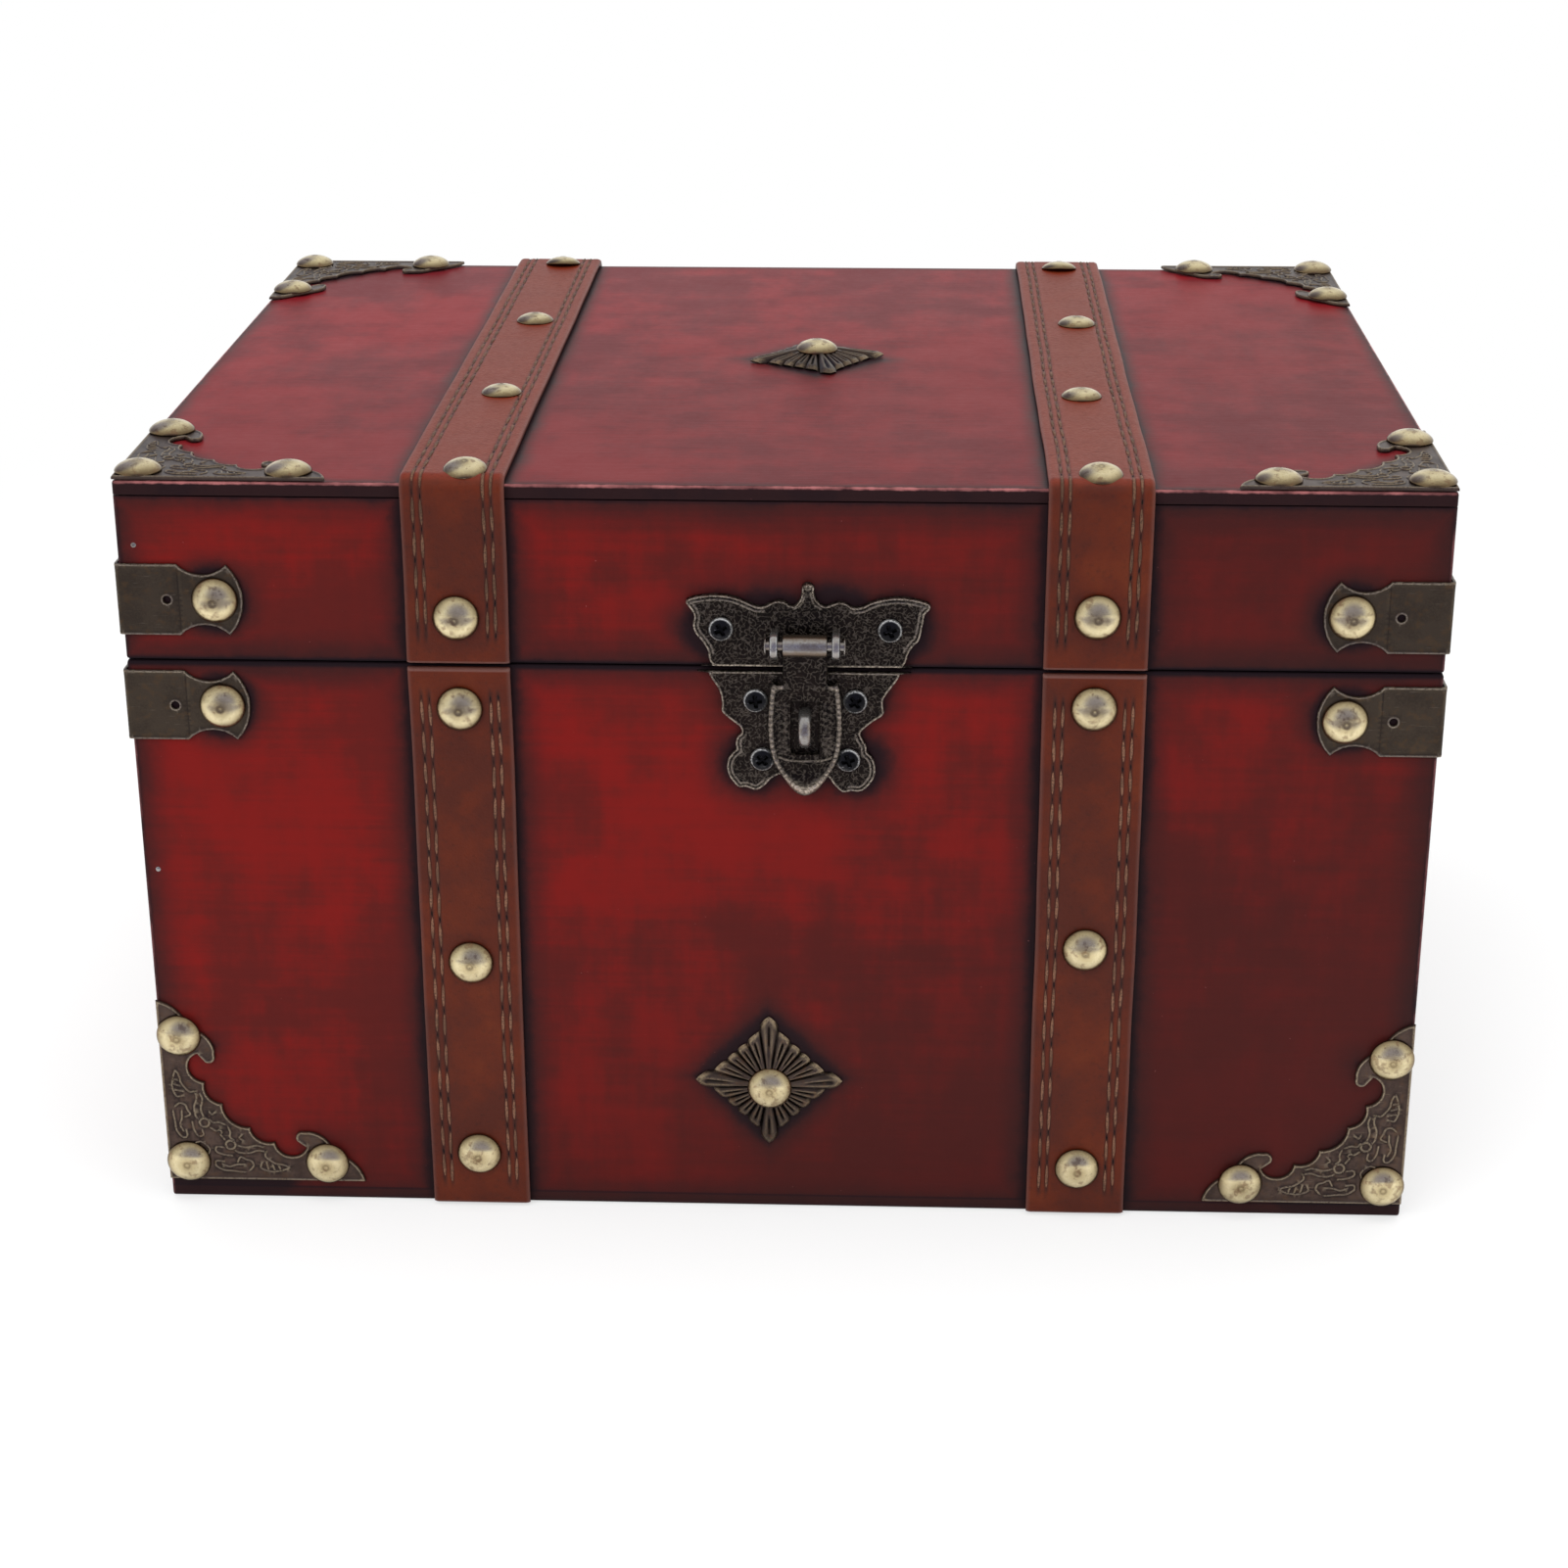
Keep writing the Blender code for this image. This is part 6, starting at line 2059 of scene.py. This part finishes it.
@dataclass(frozen=True)
class Hinges:
    """Two butt hinges on the back, each with two leaves, a ball-ended pin and four screws."""

    width: float = 30.0
    leaf_height: float = 16.0
    thickness: float = 1.2
    knuckles: int = 3
    knuckle: float = 2.3
    pin: float = 1.0
    corner: float = 1.6
    corner_bow: float = 0.293
    screw_spread: float = 18.0
    screw_height: float = 10.0
    screw: float = 2.2
    screw_foot: float = 0.2
    screw_rise: float = 0.9
    slot_half: float = 0.3
    slot_depth: float = 0.5

    @property
    def axis_y(self) -> float:
        """Depth of the pin's middle."""
        return CHEST.half_depth + FIT_GAP + self.knuckle

    @property
    def axis_z(self) -> float:
        """Height of the pin's middle."""
        return (CHEST.body_height + CHEST.lid_base) / 2

    def leaf(self, parity: int) -> Shape:
        """A leaf above its axis: the plate, its knuckles and its two slotted screws.

        Args:
            parity: 0 if the outer knuckles are the leaf's own, 1 if the inner one is.

        Returns:
            The shape.
        """
        cell, half = self.width / self.knuckles, self.width / 2
        corners: list[Triple] = []
        rolls = []
        for index in range(self.knuckles):
            start, own = index * cell - half, index % 2 == parity
            grow, level = (-FIT_GAP, 0) if own else (FIT_GAP, self.knuckle + FIT_GAP)
            corners += [(max(start - grow, -half), level, 0),
                        (min(start + cell + grow, half), level, 0)]
            if own:
                left = start + (FIT_GAP / 2 if index else 0)
                right = start + cell - (FIT_GAP / 2 if index < self.knuckles - 1 else 0)
                length = (right - left) / 2
                roll = turned([(0, length), (self.knuckle - 0.3, length),
                               (self.knuckle, length - 0.3)], mirrored=True)
                rolls.append(placed(roll, sideways(((left + right) / 2, 0, self.knuckle))))
        top, soft = self.leaf_height, self.corner
        bow = soft * self.corner_bow
        corners += [(half, top - soft, bow), (half - soft, top, 0), (soft - half, top, bow),
                    (-half, top - soft, 0)]
        plate = Relief(closed_outline(corners), self.thickness, rim=0.0, rim_width=0.4,
                       rim_inset=0.35, edge_drop=0.2, step=2.2).build()[0]
        shapes = [plate, *rolls]
        for way in (-1, 1):
            seat = (way * self.screw_spread / 2, self.screw_height, self.thickness - 0.05)
            turn = Matrix.Rotation(0.5 + way * 0.7, 4, "Z")
            shapes.append(placed(self.slotted_screw(), Matrix.Translation(seat) @ turn))
        return joined(shapes)

    def dome(self, points: np.ndarray) -> np.ndarray:
        """Height of a screw's head less its straight slot.

        Args:
            points: the points.

        Returns:
            The height above the head's foot.
        """
        reach = np.linalg.norm(points, axis=1) / self.screw
        cut = np.clip((self.slot_half - np.abs(points[:, 0])) / 0.12 + 0.5, 0, 1)
        head = (self.screw_rise - self.screw_foot) * np.sqrt(np.clip(1 - reach ** 2.2, 0, 1))
        return head - self.slot_depth * cut * (reach < 0.97)

    def slotted_screw(self) -> Shape:
        """A round screw head with a straight slot."""
        return Relief(circle(0, 0, self.screw, 32).tolist(), self.screw_foot + 0.05, rim=0,
                      rim_width=0.3, rim_inset=0.2, edge_drop=0.05, step=0.3,
                      extra=self.dome).build()[0]

    def ball_ended_pin(self) -> Shape:
        """The pin with a ball at each end.

        Returns:
            The shape, along z.
        """
        half, knob = self.width / 2 + FIT_GAP, self.knuckle - FIT_GAP
        ball = [(knob * math.sin(a), half + knob / 2 + knob / 2 * math.cos(a))
                for a in np.radians(np.arange(0, 151, 15))]
        return turned(ball + [(self.pin, half)], mirrored=True)

    def build(self) -> None:
        """Make both hinges."""
        for hand in Hand:
            centre = middle_of("hinge_lid_leaf_" + hand.word)[0]
            back = CHEST.place(Side.BACK, -centre, self.axis_z, FIT_GAP)
            for part, parity, turn, body in (("lid", 1, 0.0, Body.LID),
                                             ("body", 0, math.pi, Body.CHEST)):
                node = f"hinge_{part}_leaf_{hand.word}"
                leaf = self.leaf(parity)
                wear = np.clip((leaf[0][:, 2] - self.thickness) / 3.0, 0, 1) * 0.5
                place = back @ Matrix.Rotation(turn, 4, "Z")
                make_piece(node + "_plate", placed(leaf, place), body, [BRONZE],
                           [node], {"wear": wear})
            node = "hinge_pin_" + hand.word
            place = sideways((centre, self.axis_y, self.axis_z))
            pin = placed(self.ball_ended_pin(), place)
            make_piece(node + "_balls", pin, Body.CHEST, [BRONZE], [node],
                       {"wear": np.full(len(pin[0]), 0.4)}, smooth=60)


# Boards


@dataclass(frozen=True)
class Boards:
    """The stained boards of the box and lid, and the brad heads in its front."""

    strap_half: float = 11.0
    strap_length: float = 300.0
    tail_reach: float = 20.0
    tail_radius: float = 6.2
    tail_halo: float = 5.5
    hole_reach: float = 10.0
    hole_halo: Point = (3.0, 2.0)
    top_arm: float = 31.0
    front_arm: float = 27.0
    plate_foot: float = 4.0
    arm_spots: tuple[Point, ...] = ((12.0, 38.5), (36.0, 13.0))
    arm_spot: float = -1.5
    front_reach: float = 6.5
    back_reach: float = 6.0
    top_reach: float = 3.5
    spot_reach: float = 8.0
    hasp_spots: tuple[Triple, ...] = (
        (-18, 8.8, 6), (-7, 7.8, 8), (6, 7.8, 9), (19, 8.8, 6), (-13, -6.2, 3), (13, -6.2, 3),
        (0, -14.2, 11), (-11, -22.2, 5), (11, -22.2, 5))
    # heights from which the painted corner shade starts on lid and body
    lid_age_from: float = 114.0
    body_age_from: float = 26.0
    top_red: Tint = (0.178, 0.0072, 0.0112)
    top_deep_red: Tint = (0.112, 0.0088, 0.0130)
    flat_ior: float = 1.125
    brads: tuple[tuple[str, float, float, Body], ...] = (
        ("lid_brad_left", -136.4, 156.0, Body.LID), ("body_brad_left", -137.0, 81.6, Body.CHEST))

    def round_halo(self, u: float, v: float, radius: float, reach: float) -> Halo:
        """A round dark ground of a radius, fading over a reach."""
        return Halo(HaloShape.ROUND, u, v, radius, radius, reach)

    def tail_halo_at(self, u: float, v: float) -> Halo:
        """The dark edge of a bracket's tail."""
        return self.round_halo(u, v, self.tail_radius, self.tail_halo)

    def rosette_halo(self, node: str, axis: int) -> Halo:
        """The dark ground of a rosette, on a face with a number of the axis that runs up it."""
        u, v, half = middle_of(node)[0], middle_of(node)[axis], np.ptp(box_mm(node), axis=0)[0] / 2
        return Halo(HaloShape.DIAMOND, u, v, half * 0.95, half, 6.0)

    def strap_halos(self, reach: float) -> tuple[Halo, ...]:
        """The dark strips beside both straps, fading over a reach."""
        return tuple(Halo(HaloShape.BOX, middle_of("lid_strap_" + hand.word)[0], 0,
                          self.strap_half, self.strap_length, reach) for hand in Hand)

    def front_halos(self, part: str) -> tuple[Halo, ...]:
        """What the dark stain and painted shade on the front gather round.

        Args:
            part: the word for the lid or the body.

        Returns:
            The halos.
        """
        halos = list(self.strap_halos(self.front_reach))
        for hand in Hand:
            edge, inward = -hand.value * CHEST.half_width, hand.value
            z = middle_of(f"{part}_bracket_{hand.word}")[2]
            halos.append(self.tail_halo_at(edge + inward * self.tail_reach, z))
            halos.append(self.round_halo(edge + inward * self.hole_reach, z, *self.hole_halo))
            if part == "body":
                halos.append(Halo(HaloShape.DIAMOND, edge, self.plate_foot, self.front_arm,
                                  self.front_arm, 7))
                halos += [self.round_halo(edge + inward * x, z, self.arm_spot, self.spot_reach)
                          for x, z in self.arm_spots]
        middle = middle_of("hasp_tongue")[0]
        halos += [self.round_halo(middle + x, CHEST.body_height + z, radius, self.spot_reach)
                  for x, z, radius in self.hasp_spots]
        if part == "body":
            halos.append(self.rosette_halo("front_rosette", 2))
        return tuple(halos)

    def top_halos(self) -> tuple[Halo, ...]:
        """What the dark stain and painted shade on the lid's top gather round.

        Returns:
            The halos.
        """
        corners = [Halo(HaloShape.DIAMOND, x, y, self.top_arm, self.top_arm, 5)
                   for x in (-CHEST.half_width, CHEST.half_width)
                   for y in (-CHEST.half_depth, CHEST.half_depth)]
        return (*self.strap_halos(self.top_reach), *corners,
                self.rosette_halo("lid_rosette", 1))

    def halos(self, part: str, side: Side) -> tuple[Halo, ...]:
        """What the dark stain and painted shade on an upright side gather round.

        Args:
            part: the word for the lid or the body.
            side: the side.

        Returns:
            The halos.
        """
        if side is Side.FRONT:
            return self.front_halos(part)
        if side is Side.BACK:
            return self.strap_halos(self.back_reach)
        height = middle_of(f"{part}_bracket_{side.value}")[2]
        return (self.tail_halo_at(self.tail_reach - CHEST.half_depth, height),)

    def build(self) -> None:
        """Stain the boards and set the brad heads."""
        under_top = box_mm("lid_top_panel")[0][2]
        parts = (("lid", "lid_{}_rail", CHEST.lid_base, under_top, self.lid_age_from),
                 ("body", "{}_panel", 0, CHEST.body_height, self.body_age_from))
        for part, pattern, low, high, age_from in parts:
            for side in (Side.FRONT, Side.BACK, Side.LEFT, Side.RIGHT):
                word = side.value
                if part == "body" and side in (Side.LEFT, Side.RIGHT):
                    word += "_side"
                self.stain(pattern.format(word), StainedWood(
                    f"stain_{part}_{side.value}", side, low, high, self.halos(part, side),
                    age_from=age_from))
        self.stain("lid_top_panel", StainedWood(
            "stain_lid_top", Side.TOP, CHEST.lid_base, CHEST.height, self.top_halos(),
            self.top_red, self.top_deep_red, edge_reach=3.5, age=0.3, ior=self.flat_ior))
        self.stain("bottom_panel", StainedWood(
            "stain_bottom", Side.TOP, 0, CHEST.body_height, age=0.3, ior=self.flat_ior))
        brad = turned([(0, 0.12), (0.3, 0.11), (0.5, 0.06), (0.56, 0.0), (0, -0.1)], 16)
        for name, x, z, body in self.brads:
            place = CHEST.place(Side.FRONT, x, z, 0.02)
            make_piece(name + "_head", placed(brad, place), body, [WORN_STEEL])

    def stain(self, node: str, finish: StainedWood) -> None:
        """Give a board its finish.

        Args:
            node: the board's node.
            finish: the finish.
        """
        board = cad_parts[node]
        board.data.materials.clear()
        board.data.materials.append(material_of(finish))
        LOG.info("%s: %s", node, finish.name)


# Studio


@dataclass(frozen=True)
class Studio:
    """Camera, white surroundings, soft lamps and the pale floor."""

    camera_place: Triple = (0.0250, -0.7142, 0.3464)
    pitch: float = 0.3801
    yaw: float = 0.0399
    roll: float = -0.0023
    lens: float = 69.71
    sensor: float = 36.0
    aim: Triple = (0.0, 0.0, 0.08)
    lamps: tuple[tuple[str, Triple, float, float], ...] = (
        ("key_lamp", (-0.9, -1.5, 1.5), 1.3, 20.0), ("top_lamp", (0.1, 0.1, 1.9), 1.6, 24.0),
        ("fill_lamp", (1.3, -1.1, 0.7), 1.2, 6.0))
    white: Tint = (1.0, 1.0, 1.0)
    ambient: float = 0.62
    dark_side: Tint = (0.33, 0.33, 0.50)
    dark_ways: tuple[tuple[Triple, float], ...] = (
        ((0.10, -0.98, 0.14), 0.62), ((-0.61, 0.51, 0.61), 0.78))
    floor_tint: Tint = (0.93, 0.93, 0.93)
    dark_floor: Tint = (0.44, 0.43, 0.56)
    pool: float = 0.6
    floor_size: float = 8.0
    floor_drop: float = 0.0002

    def build(self) -> None:
        """Set the scene round the chest."""
        bpy.context.scene.view_settings.view_transform = "Standard"
        self.add_camera()
        self.add_world()
        self.add_floor()
        for lamp in self.lamps:
            self.add_lamp(*lamp)

    def add_camera(self) -> None:
        """Place the camera where the photograph was taken from."""
        data = bpy.data.cameras.new("view")
        data.lens, data.sensor_width = self.lens, self.sensor
        data.clip_start, data.clip_end = 0.01, 50
        camera = bpy.data.objects.new("view", data)
        sin_yaw, cos_yaw = math.sin(self.yaw), math.cos(self.yaw)
        sin_pitch, cos_pitch = math.sin(self.pitch), math.cos(self.pitch)
        right = Vector((cos_yaw, sin_yaw, 0))
        up = Vector((-sin_yaw * sin_pitch, cos_yaw * sin_pitch, cos_pitch))
        turn = Matrix((right, up, right.cross(up))).transposed().to_4x4()
        spin = Matrix.Rotation(self.roll, 4, "Z")
        camera.matrix_world = Matrix.Translation(self.camera_place) @ turn @ spin
        bpy.context.scene.collection.objects.link(camera)
        bpy.context.scene.camera = camera

    def add_world(self) -> None:
        """Surround the chest: white to the camera, dim on two sides in gloss, soft elsewhere."""
        world = bpy.data.worlds.new("surroundings")
        bpy.context.scene.world = world
        g = Graph(world, "Generated")
        ways = []
        for way, low in self.dark_ways:
            toward = g.node("ShaderNodeVectorMath", {"operation": "DOT_PRODUCT"},
                            {0: g.coordinates, 1: way}, "Value")
            ways.append(g.ease(toward, low, 0.98))
        height = g.node("ShaderNodeSeparateXYZ", inputs={0: g.coordinates}, output=2)
        dim = g.math("MAXIMUM", *ways) * g.ease(height, -0.5, -0.1)
        gloss = g.mix(dim, self.white, self.dark_side)
        rays = [g.node("ShaderNodeLightPath", output=f"Is {kind} Ray")
                for kind in ("Glossy", "Transmission")]
        tone = g.mix(g.math("MAXIMUM", *rays), (self.ambient,) * 3, gloss)
        seen = g.node("ShaderNodeLightPath", output="Is Camera Ray")
        colour = g.mix(seen, tone, self.white)
        g.finish(g.node("ShaderNodeBackground", inputs={"Color": colour, "Strength": 1.0}),
                 "ShaderNodeOutputWorld")

    def add_floor(self) -> None:
        """Lay the pale floor, which keeps a soft shadow."""
        half, z = self.floor_size / 2, -self.floor_drop
        mesh = bpy.data.meshes.new("floor")
        mesh.from_pydata([(-half, -half, z), (half, -half, z), (half, half, z), (-half, half, z)],
                         [], [(0, 1, 2, 3)])
        floor = bpy.data.objects.new("floor", mesh)
        bpy.context.scene.collection.objects.link(floor)
        g = Graph.of_material("pale_floor")
        diffuse = g.node("ShaderNodeBsdfDiffuse", inputs={"Color": self.floor_tint})
        glow, dim = (g.node("ShaderNodeEmission", inputs={"Color": tint, "Strength": 1.0})
                     for tint in (self.white, self.dark_floor))
        seen, gloss = (g.node("ShaderNodeLightPath", output=f"Is {kind} Ray")
                       for kind in ("Camera", "Glossy"))
        x, y, _ = g.axes()
        away = g.ease((x * x + y * y) ** 0.5, 260, 620)
        share = seen * (self.pool + away * (1 - self.pool))
        lit = g.node("ShaderNodeMixShader", inputs={0: share, 1: diffuse, 2: glow})
        ahead = g.ease(y, -210, -420) * g.ease(abs(x), 900, 300)
        mesh.materials.append(g.finish(
            g.node("ShaderNodeMixShader", inputs={0: gloss * ahead, 1: lit, 2: dim})))

    def add_lamp(self, name: str, place: Triple, size: float, power: float) -> None:
        """Hang a soft square lamp that faces the chest.

        Args:
            name: the lamp's name.
            place: where it hangs, in metres.
            size: the length of its sides, in metres.
            power: its power, in watts.
        """
        data = bpy.data.lights.new(name, "AREA")
        data.shape, data.size, data.energy = "SQUARE", size, power
        lamp = bpy.data.objects.new(name, data)
        lamp.location = place
        aim = Vector(self.aim) - Vector(place)
        lamp.rotation_euler = aim.to_track_quat("-Z", "Y").to_euler()
        lamp.visible_glossy = False
        bpy.context.scene.collection.objects.link(lamp)


def main() -> None:
    """Dress the chest and set the scene round it."""
    logging.basicConfig(level=logging.INFO, format="%(message)s")
    for work in (Boards(), Straps(), CornerPlates(), Brackets(), Rosettes(), Hasp(), Hinges(),
                 Studio()):
        LOG.info("building %s", type(work).__name__)
        work.build()


if __name__ == "__main__":
    main()
